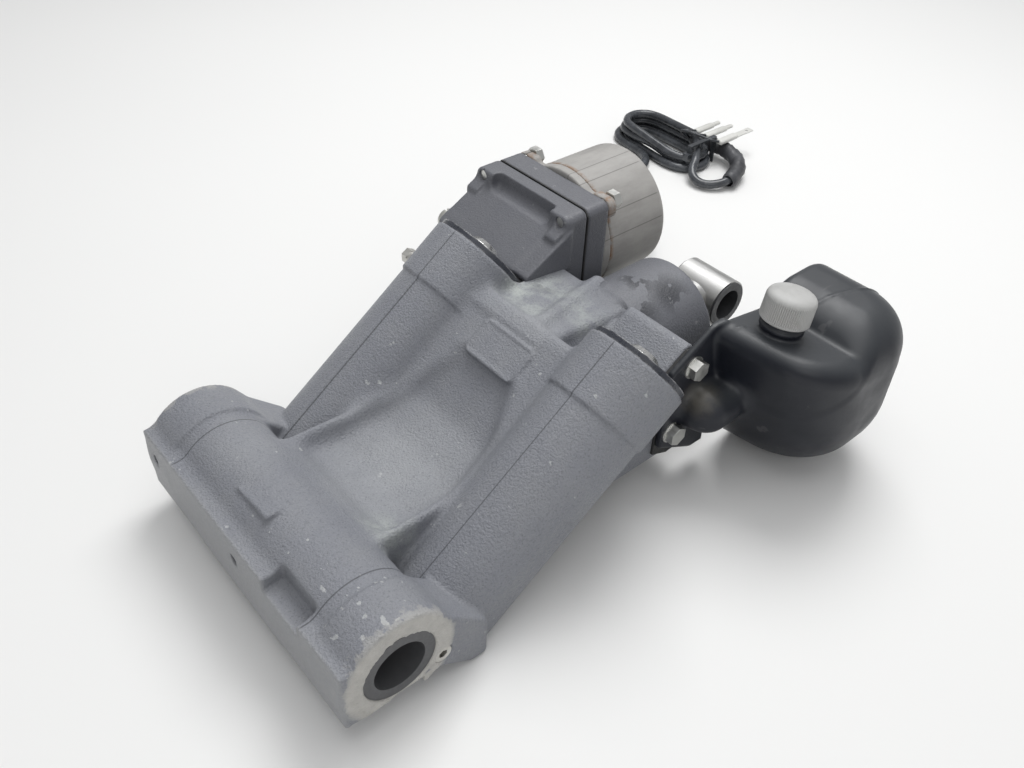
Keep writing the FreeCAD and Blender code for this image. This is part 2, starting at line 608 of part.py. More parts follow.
def motor_inside():
    node("shaft_seal", tube(11, "shaft_radius + running_gap", 6, on_motor(220)))
    node("front_bearing", tube(11, "shaft_radius + running_gap", 7, on_motor(227)))
    node("rear_bearing", tube(8, "shaft_radius + running_gap", 6, on_motor(281)))
    node("armature_shaft", cylinder("shaft_radius", 74, on_motor(212.4)))
    slots = []
    for index in range(12):
        bar = box((motor_x - 1.5, 249, motor_z + 20), (motor_x + 1.5, 276, motor_z + 30))
        slots.append(turned(bar, index * 30, on_motor(0)))
    core = cylinder(29, 24, on_motor(250))
    node("armature_core", cut(core, cylinder("shaft_radius", 24, on_motor(250)), *slots))
    bars = []
    for index in range(12):
        bar = box((motor_x - 1.3, 248, motor_z + 20.2), (motor_x + 1.3, 276, motor_z + 28))
        bars.append(turned(bar, index * 30, on_motor(0)))
    heads = [tube(27.5, 12, 4.4, on_motor(245.4)), tube(27.5, 12, 4.6, on_motor(274.2))]
    node("armature_windings", fuse(*heads, *bars))
    node("commutator", cut(tube(11, "shaft_radius", 8, on_motor(236.8)),
                           *[turned(box((motor_x - 0.4, 236, motor_z + 9.6), (motor_x + 0.4, 245, motor_z + 12)),
                                    index * 30 + 15, on_motor(0)) for index in range(12)]))
    ring = tube(36.8, 30.5, 32, on_motor(246))
    wedge = box((motor_x - 50, 240, motor_z - 12), (motor_x + 50, 284, motor_z + 12))
    node("field_magnets", cut(ring, wedge))
    plate = tube(29.6, 13, 1.6, on_motor(236))
    posts = [box((motor_x + side * 28.4 - 1.2, 236, motor_z - 4), (motor_x + side * 28.4 + 1.2, 244.5, motor_z + 4))
             for side in (-1, 1)]
    node("brush_holder", common(fuse(plate, *posts), cylinder(29.7, 10, on_motor(236))))
    brushes, springs = [], []
    for side in (-1, 1):
        low, high = sorted((side * 11.3, side * 19))
        brushes.append(box((motor_x + low, 237.9, motor_z - 3), (motor_x + high, 243.9, motor_z + 3)))
        springs.append(coil_spring(2.2, 0.35, 7.2, 5, on_motor(240.9, side * 19.4), (side, 0, 0)))
    node("carbon_brushes", group(*brushes))
    node("brush_springs", group(*springs))


# ---------------------------------------------------------------- reservoir

neck_angle = math.radians(size("neck_tilt"))
NECK_AXIS = (0, math.sin(neck_angle), math.cos(neck_angle))
NECK_FOOT = Vector(84.8, 239.4, 58.4)        # where the neck's axis meets the shoulder
NECK_LENGTH = 19.0
CAP_LIFT = 7.0                               # shoulder to the lower rim of the cap


def on_neck(distance):
    return tuple(NECK_FOOT + Vector(*NECK_AXIS) * distance)


def rounded_corner(centre_x, centre_z, radius, start):
    """Four points of a quarter circle, from the start angle on."""
    return [(centre_x + radius * math.cos(math.radians(start + step)),
             centre_z + radius * math.sin(math.radians(start + step))) for step in (0, 30, 60, 90)]


def tank_form(inset):
    """The moulded outside of the reservoir, or its inside when inset by the wall.

    Each station is (Y, inner X, outer X, bottom Z, top Z, upper corner, lower corner)."""
    face = size("tank_face") + 1.5
    stations = [(212, face, 91, 2, 61, 10, 12), (222, face, 110, -12, 60.5, 15, 20),
                (238, face, 121, -27, 58, 18, 26), (254, face, 126, -34, 55.5, 18, 28),
                (262, face, 127.5, rest_z, 64, 20, 28), (284, face, 129, rest_z, 66, 22, 28),
                (302, face + 4, 124.5, -30, 58.5, 22, 26), (314, face + 14, 108, -8, 44, 14, 16)]
    rings = []
    for y, inner, outer, bottom, top, upper, lower in stations:
        low_x, high_x, low_z, high_z = inner + inset, outer - inset, bottom + inset, top - inset
        points = (rounded_corner(high_x - lower, low_z + lower, lower, 270)
                  + rounded_corner(high_x - upper, high_z - upper, upper, 0)
                  + rounded_corner(low_x + 6, high_z - 6, 6, 90)
                  + rounded_corner(low_x + 6, low_z + 6, 6, 180))
        depth = min(max(y, stations[0][0] + inset), stations[-1][0] - inset)
        ring = document.addObject("Part::Polygon", "Station")
        ring.Nodes = [Vector(x, depth, z) for x, z in points]
        ring.Close = True
        rings.append(ring)
    form = document.addObject("Part::Loft", "TankForm")
    form.Sections = rings
    form.Solid = True
    form.Ruled = True
    return form


def reservoir():
    face = size("tank_face")
    lug = side_profile("tank_lug", [(184, -14), (184, 42), (198, 51.5), (212, 60.5), (220, 60.5), (220, -22),
                                    (196, -22)],
                       face + 1.5, face + 4.5)
    elbow = cylinder(11, 14, (face + 1.5, *TANK_PORT), X_AXIS)
    elbow_end = sphere(11, (face + 15.5, *TANK_PORT))
    elbow_run = cylinder(11, 14, (face + 15.5, *TANK_PORT), Y_AXIS)
    port = [cylinder("port_radius", 16, (face, *TANK_PORT), X_AXIS),
            cylinder("port_radius", 16, (face + 15, *TANK_PORT), Y_AXIS)]
    neck = cylinder("neck_radius", NECK_LENGTH + 4, on_neck(-4), NECK_AXIS)
    collar = cylinder(12.6, 2.4, on_neck(2), NECK_AXIS)
    filler = cylinder("neck_bore_radius", NECK_LENGTH + 12, on_neck(-10), NECK_AXIS)
    holes = [cylinder("bolt_radius + running_gap", 6, (face, y, z), X_AXIS) for y, z in TANK_BOLTS]
    node("reservoir_tank", cut(joined(tank_form(0.0), lug, elbow, elbow_end, elbow_run, neck, collar),
                               tank_form(size("tank_wall")), filler, *port, *holes))
    pad = side_profile("gasket_lug", [(184, -14), (184, 42), (198, 51), (203, 50), (205.5, 46), (206, 35),
                                      (213.5, 29), (214, 8), (205, -18), (196, -19)], face, face + 1.5)
    node("tank_gasket", cut(pad, cylinder("port_radius", 4, (face - 1, *TANK_PORT), X_AXIS),
                            *[cylinder("bolt_radius + running_gap", 4, (face - 1, y, z), X_AXIS)
                              for y, z in TANK_BOLTS]))
    bolts = []
    for y, z in TANK_BOLTS:
        outer = face + 4.5
        bolts.append(fuse(cylinder("bolt_radius", 24, (outer - 24, y, z), X_AXIS),
                          cylinder(6.5, 1.6, (outer, y, z), X_AXIS),
                          prism(6, 10, 6.5, (outer, y, z), X_AXIS)))
    node("tank_bolts", group(*bolts))


def filler_cap():
    height = size("cap_height")
    skirt = cylinder("cap_radius", "cap_height - 4", on_neck(CAP_LIFT), NECK_AXIS)
    crown = cone("cap_radius", 10.0, 4, on_neck(CAP_LIFT + height - 4), NECK_AXIS)
    hollow = cylinder("neck_radius + 0.35", NECK_LENGTH + 1.7 - CAP_LIFT, on_neck(CAP_LIFT), NECK_AXIS)
    frame = along(on_neck(0), NECK_AXIS)
    grooves = []
    count = 40
    for index in range(count):
        notch = box((12.55, -0.45, CAP_LIFT + 0.5), (14, 0.45, CAP_LIFT + height - 5.5))
        notch.Placement = frame * notch.Placement
        grooves.append(turned(notch, index * 360 / count, on_neck(0), NECK_AXIS))
    node("filler_cap", cut(fuse(skirt, crown), hollow, *grooves))
    node("cap_seal", tube("neck_radius", "neck_bore_radius", 1.5, on_neck(NECK_LENGTH + 0.1), NECK_AXIS))


# ---------------------------------------------------------------- motor lead

LEAD_EXIT = (-84.0, 298.0, 18.0)             # end face of the grommet
LEAD_ROUTE = [                               # centre line of the free lead
    LEAD_EXIT,
    (-87.0, 326.0, 14.0),
    (-98.0, 352.0, -6.0),
    (-117.0, 372.0, -25.0),
    (-143.0, 391.0, -31.5),
    (-169.0, 412.0, -31.5),
    (-188.0, 438.0, -31.5),
    (-202.0, 462.5, -31.5),
]


SLEEVE_ROUTE = [                             # centre line of the taped end
    (-192.0, 503.0, -24.0),
    (-177.0, 512.0, -24.0),
    (-159.0, 514.0, -24.0),
    (-142.0, 507.5, -25.0),
    (-130.5, 494.0, -26.5),
    (-127.0, 477.0, -28.0),
]


def rounded_path(points, share=0.45):
    """Straight runs joined by tangent arcs; prints each arc's radius."""
    corners = [Vector(*point) for point in points]
    edges, start = [], corners[0]
    for before, corner, after in zip(corners, corners[1:], corners[2:]):
        back, ahead = before - corner, after - corner
        reach = share * min(back.Length, ahead.Length)
        turn = math.pi - back.getAngle(ahead)
        radius = reach / math.tan(turn / 2)
        print("lead arc radius", round(radius, 1))
        back.normalize()
        ahead.normalize()
        entry, leave = corner + back * reach, corner + ahead * reach
        middle_dir = (back + ahead).normalize()
        centre = corner + middle_dir * math.hypot(radius, reach)
        middle = centre - middle_dir * radius
        edges.append(Part.LineSegment(start, entry).toShape())
        edges.append(Part.Arc(entry, middle, leave).toShape())
        start = leave
    edges.append(Part.LineSegment(start, corners[-1]).toShape())
    return Part.Wire(edges)


def swept_tube(points, radius):
    path = rounded_path(points)
    heading = Vector(*points[1]) - Vector(*points[0])
    profile = Part.Wire([Part.Circle(Vector(*points[0]), heading, radius).toShape()])
    thing = document.addObject("Part::Feature", "Tube")
    thing.Shape = path.makePipeShell([profile], True, False)
    expected = math.pi * radius ** 2 * path.Length
    print("tube length", round(path.Length, 1), "volume over expected", round(thing.Shape.Volume / expected, 4))
    return thing


def motor_lead():
    x, y, z = LEAD_EXIT
    grommet = fuse(cylinder(5, 2, (x, y - 10, z)), cone(8, 5.5, 8, (x, y - 8, z)))
    node("lead_grommet", grommet)
    node("motor_lead", swept_tube(LEAD_ROUTE, size("lead_radius")))
    hank = outline_body("hank_outline", "XY_Plane", rest_z,
                        [[(-258, 464), (-246, 456), (-196, 461), (-172, 474), (-158, 478), (-158, 500),
                          (-164, 504), (-178, 504), (-190, 511), (-226, 511), (-248, 498), (-258, 482)]], 22)
    node("lead_hank", hank)
    node("lead_sleeve", swept_tube(SLEEVE_ROUTE, size("sleeve_radius")))
    blades = [box((x, 502, -17), (x + 7, y, -12.8)) for x, y in ((-191, 544), (-180, 546), (-165.5, 540))]
    node("lead_terminals", group(*blades))
    strap = cut(box((-170, 472.6, rest_z), (-166, 505.4, -11.6)), box((-171, 474, rest_z), (-165, 504, -13)))
    node("cable_tie", fuse(strap, box((-171, 469, -24), (-165, 473, -18))))


housing()
pivot_bushes()
plugs()
for trim_word, trim_side in (("left", -1), ("right", 1)):
    trim_set(trim_word, trim_side)
trim_wipers()
tilt_set()
rod_eye()
pump_housing()
gear_pump()
release_valve()
pump_fastener()
motor_shell()
motor_inside()
reservoir()
filler_cap()
motor_lead()
document.recompute()

# ---------------------------------------------------------------- checks and export

for item in document.Objects:
    if any(word in item.State for word in ("Invalid", "Error")):
        raise RuntimeError(f"{item.Name} ({item.Label}) failed: {item.State}")

os.makedirs("parts", exist_ok=True)
for piece in nodes:
    shape = piece.Shape
    if shape.isNull() or not shape.isValid() or not shape.Solids:
        raise RuntimeError(f"{piece.Label} has no valid solid")
    shape.exportStep(f"parts/{piece.Label}.step")
    bounds = shape.optimalBoundingBox(False)
    print(f"{piece.Label}: {len(shape.Solids)} solids, {shape.Volume / 1000:.1f} cm3,"
          f" x {bounds.XMin:.1f} {bounds.XMax:.1f}, y {bounds.YMin:.1f} {bounds.YMax:.1f},"
          f" z {bounds.ZMin:.1f} {bounds.ZMax:.1f}")
print(len(nodes), "nodes")
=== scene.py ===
import bpy
import json
import math
import numpy as np
from mathutils import Matrix, Vector


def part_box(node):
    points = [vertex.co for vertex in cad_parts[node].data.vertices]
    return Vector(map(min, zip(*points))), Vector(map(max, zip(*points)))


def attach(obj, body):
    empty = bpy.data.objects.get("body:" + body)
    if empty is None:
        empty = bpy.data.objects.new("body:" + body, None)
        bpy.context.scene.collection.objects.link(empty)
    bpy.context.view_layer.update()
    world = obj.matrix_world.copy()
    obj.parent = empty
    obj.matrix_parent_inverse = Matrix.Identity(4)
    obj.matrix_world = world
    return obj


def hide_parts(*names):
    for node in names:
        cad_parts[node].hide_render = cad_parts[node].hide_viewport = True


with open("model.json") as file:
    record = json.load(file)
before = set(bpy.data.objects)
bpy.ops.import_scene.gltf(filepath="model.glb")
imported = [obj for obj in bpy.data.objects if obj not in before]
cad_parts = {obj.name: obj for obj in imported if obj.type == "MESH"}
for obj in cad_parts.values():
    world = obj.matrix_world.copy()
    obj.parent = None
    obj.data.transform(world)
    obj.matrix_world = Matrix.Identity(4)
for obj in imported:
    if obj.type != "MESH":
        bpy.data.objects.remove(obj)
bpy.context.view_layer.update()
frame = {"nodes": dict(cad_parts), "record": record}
nodes = frame["nodes"]
MM = 0.001

# Lengths in the shape functions are millimetres in the row frame, as on a drawing; meshes are
# written in metres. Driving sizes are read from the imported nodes.


def node_box(name):
    low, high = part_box(name)
    return np.array(low) / MM, np.array(high) / MM


HOUSING_LOW, HOUSING_HIGH = node_box("cylinder_housing")
HALF_WIDTH = HOUSING_HIGH[0]
REST_Z = HOUSING_LOW[2]
TILT_END = HOUSING_HIGH[1]
TILT_Z, TILT_RADIUS = 12.5, 35.0
TRIM_X, TRIM_RADIUS = 60.3, 27.55
TRIM_ANGLE = math.radians(35.64)
TRIM_TOP = np.array((163.35, 61.75))
TRIM_COS, TRIM_SIN = math.cos(TRIM_ANGLE), math.sin(TRIM_ANGLE)
COLLAR_END = -3.5                            # end of the casting below the top plane of a trim ram
TRIM_GLAND_RADIUS, TILT_GLAND_RADIUS = 18.0, 22.0
SEAM_X = 59.0                                # parting line on each trim cylinder
BARREL_RADIUS, BOSS_RADIUS = 26.0, 27.8
BUSH_RADIUS, BUSH_FLANGE_RADIUS = 16.0, 18.2
BOLT_RADIUS = 3.0
MOTOR_X, MOTOR_Z = -75.5, 41.0
CAN_RADIUS = 39.1
VALVE_Y, VALVE_Z = 183, 47                   # axis of the manual release screw
TANK_FACE = 61.5                             # the reservoir's joint with its gasket
TANK_BOLTS = ((200, 42), (191.5, 2))
PORT_Y, PORT_Z, PORT_RADIUS = 206, 14, 5     # oil port between casting and reservoir
CAP_RADIUS, NECK_RADIUS, NECK_BORE = 13.0, 10.4, 8
NECK_FOOT = np.array((84.8, 239.4, 58.4))
NECK_TILT = math.radians(9.8)
NECK_AXIS = np.array((0, math.sin(NECK_TILT), math.cos(NECK_TILT)))

# ---------------------------------------------------------------- camera and stage


def camera():
    """The viewing angle of the product picture."""
    data = bpy.data.cameras.new("Camera")
    data.lens = 32.88
    data.sensor_width = 36
    data.clip_start, data.clip_end = 0.01, 20
    eye = bpy.data.objects.new("Camera", data)
    right = Vector((0.645, 0.764, 0.032)).normalized()
    forward = Vector((-0.565, 0.505, -0.653)).normalized()
    up = right.cross(forward).normalized()
    right = forward.cross(up)
    eye.matrix_world = Matrix.Translation((0.27807, -0.11282, 0.34180)) @ Matrix(
        (right, up, -forward)).transposed().to_4x4()
    bpy.context.scene.collection.objects.link(eye)
    bpy.context.scene.camera = eye


def lamp(name, place, target, size, power):
    data = bpy.data.lights.new(name, "AREA")
    data.shape = "RECTANGLE"
    data.size, data.size_y = size
    data.energy = power
    light = bpy.data.objects.new(name, data)
    light.location = place
    light.rotation_euler = (Vector(target) - Vector(place)).to_track_quat("-Z", "Y").to_euler()
    bpy.context.scene.collection.objects.link(light)


def studio():
    world = bpy.data.worlds.new("Studio")
    bpy.context.scene.world = world
    world.use_nodes = True
    sky = world.node_tree.nodes["Background"]
    sky.inputs["Color"].default_value = (0.98, 0.985, 1.0, 1)
    sky.inputs["Strength"].default_value = 0.42
    lamp("KeyLight", (-0.35, 0.75, 1.25), (0, 0.15, 0), (0.8, 0.8), 13)
    lamp("FillLight", (0.95, -0.6, 0.9), (0, 0.1, 0), (1.1, 0.9), 3)
    lamp("TopLight", (0.1, 0.1, 1.5), (0, 0.15, 0), (1.2, 1.2), 6)
    reach = 4.0
    corners = [(reach * x, reach * y, 0) for x, y in ((-1, -1), (1, -1), (1, 1), (-1, 1))]
    floor = mesh_object("Floor", corners, [(0, 1, 2, 3)])
    floor.location.z = REST_Z * MM - 0.0002
    floor.data.materials.append(floor_material())
    bpy.context.scene.view_settings.view_transform = "Standard"


# ---------------------------------------------------------------- meshes


def mesh_object(name, points, faces):
    mesh = bpy.data.meshes.new(name)
    mesh.from_pydata([tuple(map(float, p)) for p in points], [], faces)
    thing = bpy.data.objects.new(name, mesh)
    bpy.context.scene.collection.objects.link(thing)
    return thing


def quad_mesh(name, points, quads):
    """A smooth-shaded mesh from arrays of points (metres) and quads."""
    mesh = bpy.data.meshes.new(name)
    mesh.vertices.add(len(points))
    mesh.vertices.foreach_set("co", points.astype(np.float32).ravel())
    mesh.loops.add(quads.size)
    mesh.loops.foreach_set("vertex_index", quads.astype(np.int32).ravel())
    mesh.polygons.add(len(quads))
    mesh.polygons.foreach_set("loop_start", np.arange(0, quads.size, 4, dtype=np.int32))
    mesh.polygons.foreach_set("use_smooth", np.ones(len(quads), bool))
    mesh.update(calc_edges=True)
    mesh.validate()
    thing = bpy.data.objects.new(name, mesh)
    bpy.context.scene.collection.objects.link(thing)
    return thing


def surface_net(field, low, step):
    """Points and quads where a sampled distance field is zero, one point in each mixed cell."""
    inside = field < 0
    corners = [(a, b, c) for a in (0, 1) for b in (0, 1) for c in (0, 1)]
    nx, ny, nz = (n - 1 for n in field.shape)
    count = sum(inside[a:a + nx, b:b + ny, c:c + nz].astype(np.int8) for a, b, c in corners)
    cells = np.argwhere((count > 0) & (count < 8))
    total = np.zeros((len(cells), 3))
    hits = np.zeros(len(cells))
    for first in corners:
        for axis in range(3):
            if first[axis]:
                continue
            second = list(first)
            second[axis] = 1
            a = field[tuple((cells + first).T)]
            b = field[tuple((cells + second).T)]
            cross = (a < 0) != (b < 0)
            share = np.where(cross, a / np.where(cross, a - b, 1), 0)
            spot = np.array(first, float)[None].repeat(len(cells), 0)
            spot[:, axis] += share
            total[cross] += spot[cross]
            hits += cross
    points = low + (cells + total / hits[:, None]) * step
    index = np.full((nx, ny, nz), -1, np.int64)
    index[tuple(cells.T)] = np.arange(len(cells))
    quads = []
    for axis in range(3):
        ahead = [slice(None)] * 3
        ahead[axis] = slice(1, None)
        behind = [slice(None)] * 3
        behind[axis] = slice(None, -1)
        lead, trail = inside[tuple(behind)], inside[tuple(ahead)]
        for flip in (False, True):
            edges = np.argwhere((lead & ~trail) if flip else (trail & ~lead))
            u, v = (axis + 1) % 3, (axis + 2) % 3
            edges = edges[(edges[:, u] > 0) & (edges[:, v] > 0)
                          & (edges[:, u] < field.shape[u] - 1) & (edges[:, v] < field.shape[v] - 1)]
            ring = []
            for du, dv in ((0, 0), (1, 0), (1, 1), (0, 1)):
                cell = edges.copy()
                cell[:, u] -= du
                cell[:, v] -= dv
                ring.append(index[tuple(cell.T)])
            ring = np.stack(ring if not flip else ring[::-1], 1)
            quads.append(ring[:, ::-1])
    return points, np.concatenate(quads)


def sculpt(name, shape, low, high, step, body, slot_name, stands_for=(), sharpen=3):
    """A piece whose surface is where shape(x, y, z) is zero, in millimetres."""
    low, high = np.array(low, float), np.array(high, float)
    axes = [np.arange(a, b + step, step, dtype=np.float32) for a, b in zip(low, high)]
    x, y, z = (axes[0][:, None, None], axes[1][None, :, None], axes[2][None, None, :])
    field = np.broadcast_to(shape(x, y, z), tuple(len(a) for a in axes))
    points, quads = surface_net(field, low, step)
    for _ in range(sharpen):
        x, y, z = points.T
        value = shape(x, y, z)
        reach = 0.05
        slope = np.stack([(shape(x + reach, y, z) - value), (shape(x, y + reach, z) - value),
                          (shape(x, y, z + reach) - value)], 1) / reach
        move = -slope * (value / np.maximum((slope ** 2).sum(1), 0.2))[:, None]
        length = np.maximum(np.linalg.norm(move, axis=1), 1e-9)
        points = points + move * np.minimum(1, 0.4 * step / length)[:, None]
    piece = quad_mesh(name, points * MM, quads)
    settle(piece, body, slot_name, stands_for)
    return piece


def settle(piece, body, slot_name, stands_for=()):
    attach(piece, body)
    if stands_for:
        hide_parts(*stands_for)
    piece.data.materials.append(MATERIALS[slot_name])


# ---------------------------------------------------------------- distance shapes


def melt(a, b, reach):
    """Union with a fillet of about that reach."""
    overlap = np.maximum(reach - np.abs(a - b), 0) / reach
    return np.minimum(a, b) - overlap * overlap * reach * 0.25


def carve(a, b, reach):
    """a without b, with a rounded edge."""
    return -melt(-a, b, reach)


def meet(a, b, reach):
    """What a and b share, with a rounded edge."""
    return -melt(-a, -b, reach)


def round_meet(a, b, radius):
    """What a and b share, the edge between them rounded to that radius."""
    a, b = a + radius, b + radius
    return np.minimum(np.maximum(a, b), 0) + np.hypot(np.maximum(a, 0), np.maximum(b, 0)) - radius


def drum(radial, radius, along, start, end, edge):
    """A disc or cylinder with rounded edges, from distances across and along its axis."""
    across = radial - (radius - edge)
    length = np.abs(along - (start + end) / 2) - ((end - start) / 2 - edge)
    return (np.minimum(np.maximum(across, length), 0)
            + np.hypot(np.maximum(across, 0), np.maximum(length, 0)) - edge)


def brick(x, y, z, low, high, edge):
    parts = [np.abs(v - (a + b) / 2) - ((b - a) / 2 - edge) for v, a, b in zip((x, y, z), low, high)]
    outer = np.sqrt(sum(np.maximum(p, 0) ** 2 for p in parts))
    return np.minimum(np.maximum(np.maximum(parts[0], parts[1]), parts[2]), 0) + outer - edge


def curve_height(t, pairs):
    """A smooth line through (t, height) pairs."""
    at, height = zip(*pairs)
    spread = (at[-1] - at[0]) * 0.03
    return sum(np.interp(t + shift * spread, at, height) for shift in (-1, -0.5, 0, 0.5, 1)) / 5


def trim_frame(y, z):
    """Distance along a trim axis from its top plane, and height above the axis."""
    dy, dz = y - TRIM_TOP[0], z - TRIM_TOP[1]
    return dy * TRIM_COS + dz * TRIM_SIN, dz * TRIM_COS - dy * TRIM_SIN


# ---------------------------------------------------------------- materials


class Paint:
    """A node material under construction, with short names for the nodes it is made of."""

    def __init__(self, name):
        self.material = bpy.data.materials.new(name)
        self.material.use_nodes = True
        self.tree = self.material.node_tree
        self.shader = self.tree.nodes["Principled BSDF"]
        place = self.tree.nodes.new("ShaderNodeTexCoord")
        self.place = place.outputs["Object"]
        self.normal = None

    def link(self, source, target):
        self.tree.links.new(source, target)

    def noise(self, scale, detail=4.0, rough=0.55, stretch=None):
        node = self.tree.nodes.new("ShaderNodeTexNoise")
        node.inputs["Scale"].default_value = scale
        node.inputs["Detail"].default_value = detail
        node.inputs["Roughness"].default_value = rough
        self.link(self.stretched(stretch), node.inputs["Vector"])
        return node.outputs["Fac"]

    def stretched(self, stretch):
        if stretch is None:
            return self.place
        node = self.tree.nodes.new("ShaderNodeMapping")
        node.inputs["Scale"].default_value = stretch
        self.link(self.place, node.inputs["Vector"])
        return node.outputs["Vector"]

    def parts(self, vector):
        """The X, Y and Z of a vector."""
        node = self.tree.nodes.new("ShaderNodeSeparateXYZ")
        self.link(vector, node.inputs["Vector"])
        return node.outputs["X"], node.outputs["Y"], node.outputs["Z"]

    def steps(self, source, low, high, dark=0.0, light=1.0):
        node = self.tree.nodes.new("ShaderNodeMapRange")
        node.interpolation_type = "SMOOTHSTEP"
        node.inputs["From Min"].default_value = low
        node.inputs["From Max"].default_value = high
        node.inputs["To Min"].default_value = dark
        node.inputs["To Max"].default_value = light
        self.link(source, node.inputs["Value"])
        return node.outputs["Result"]

    def maths(self, how, a, b):
        node = self.tree.nodes.new("ShaderNodeMath")
        node.operation = how
        node.use_clamp = how in ("MULTIPLY", "ADD")
        for slot, value in zip(node.inputs, (a, b)):
            if isinstance(value, (int, float)):
                slot.default_value = value
            else:
                self.link(value, slot)
        return node.outputs[0]

    def mix(self, factor, a, b):
        node = self.tree.nodes.new("ShaderNodeMix")
        node.data_type = "RGBA"
        self.link(factor, node.inputs["Factor"])
        for slot, value in ((node.inputs["A"], a), (node.inputs["B"], b)):
            if isinstance(value, tuple):
                slot.default_value = (*value, 1)
            else:
                self.link(value, slot)
        return node.outputs["Result"]

    def attribute(self, name):
        node = self.tree.nodes.new("ShaderNodeAttribute")
        node.attribute_name = name
        return node.outputs["Fac"]

    def patches(self, name, source, low, high, dark=0.0, light=1.0):
        """A mask of the mesh, broken up by a noise."""
        return self.maths("MULTIPLY", self.attribute(name), self.steps(source, low, high, dark, light))

    def edge_wear(self, radius, low=0.02, high=0.25):
        """Where the surface turns sharply: the bevelled normal leaves the true one."""
        bevel = self.tree.nodes.new("ShaderNodeBevel")
        bevel.samples = 4
        bevel.inputs["Radius"].default_value = radius
        true = self.tree.nodes.new("ShaderNodeNewGeometry")
        dot = self.tree.nodes.new("ShaderNodeVectorMath")
        dot.operation = "DOT_PRODUCT"
        self.link(bevel.outputs["Normal"], dot.inputs[0])
        self.link(true.outputs["Normal"], dot.inputs[1])
        return self.steps(self.maths("SUBTRACT", 1.0, dot.outputs["Value"]), low, high)

    def bump(self, source, strength, distance):
        node = self.tree.nodes.new("ShaderNodeBump")
        node.inputs["Strength"].default_value = strength
        node.inputs["Distance"].default_value = distance
        self.link(source, node.inputs["Height"])
        if self.normal is not None:
            self.link(self.normal, node.inputs["Normal"])
        self.normal = node.outputs["Normal"]

    def soften(self, radius):
        node = self.tree.nodes.new("ShaderNodeBevel")
        node.samples = 4
        node.inputs["Radius"].default_value = radius
        self.normal = node.outputs["Normal"]

    def finish(self, colour, roughness, metallic=0.0, **uniform):
        for slot, value in (("Base Color", colour), ("Roughness", roughness), ("Metallic", metallic)):
            if isinstance(value, tuple):
                self.shader.inputs[slot].default_value = (*value, 1)
            elif isinstance(value, (int, float)):
                self.shader.inputs[slot].default_value = value
            else:
                self.link(value, self.shader.inputs[slot])
        for slot, value in uniform.items():
            self.shader.inputs[slot.replace("_", " ")].default_value = value
        if self.normal is not None:
            self.link(self.normal, self.shader.inputs["Normal"])
        return self.material


def floor_material():
    paint = Paint("floor")
    tone = paint.mix(paint.noise(1.2, 2), (0.77, 0.77, 0.76), (0.83, 0.83, 0.82))
    return paint.finish(tone, 0.6)


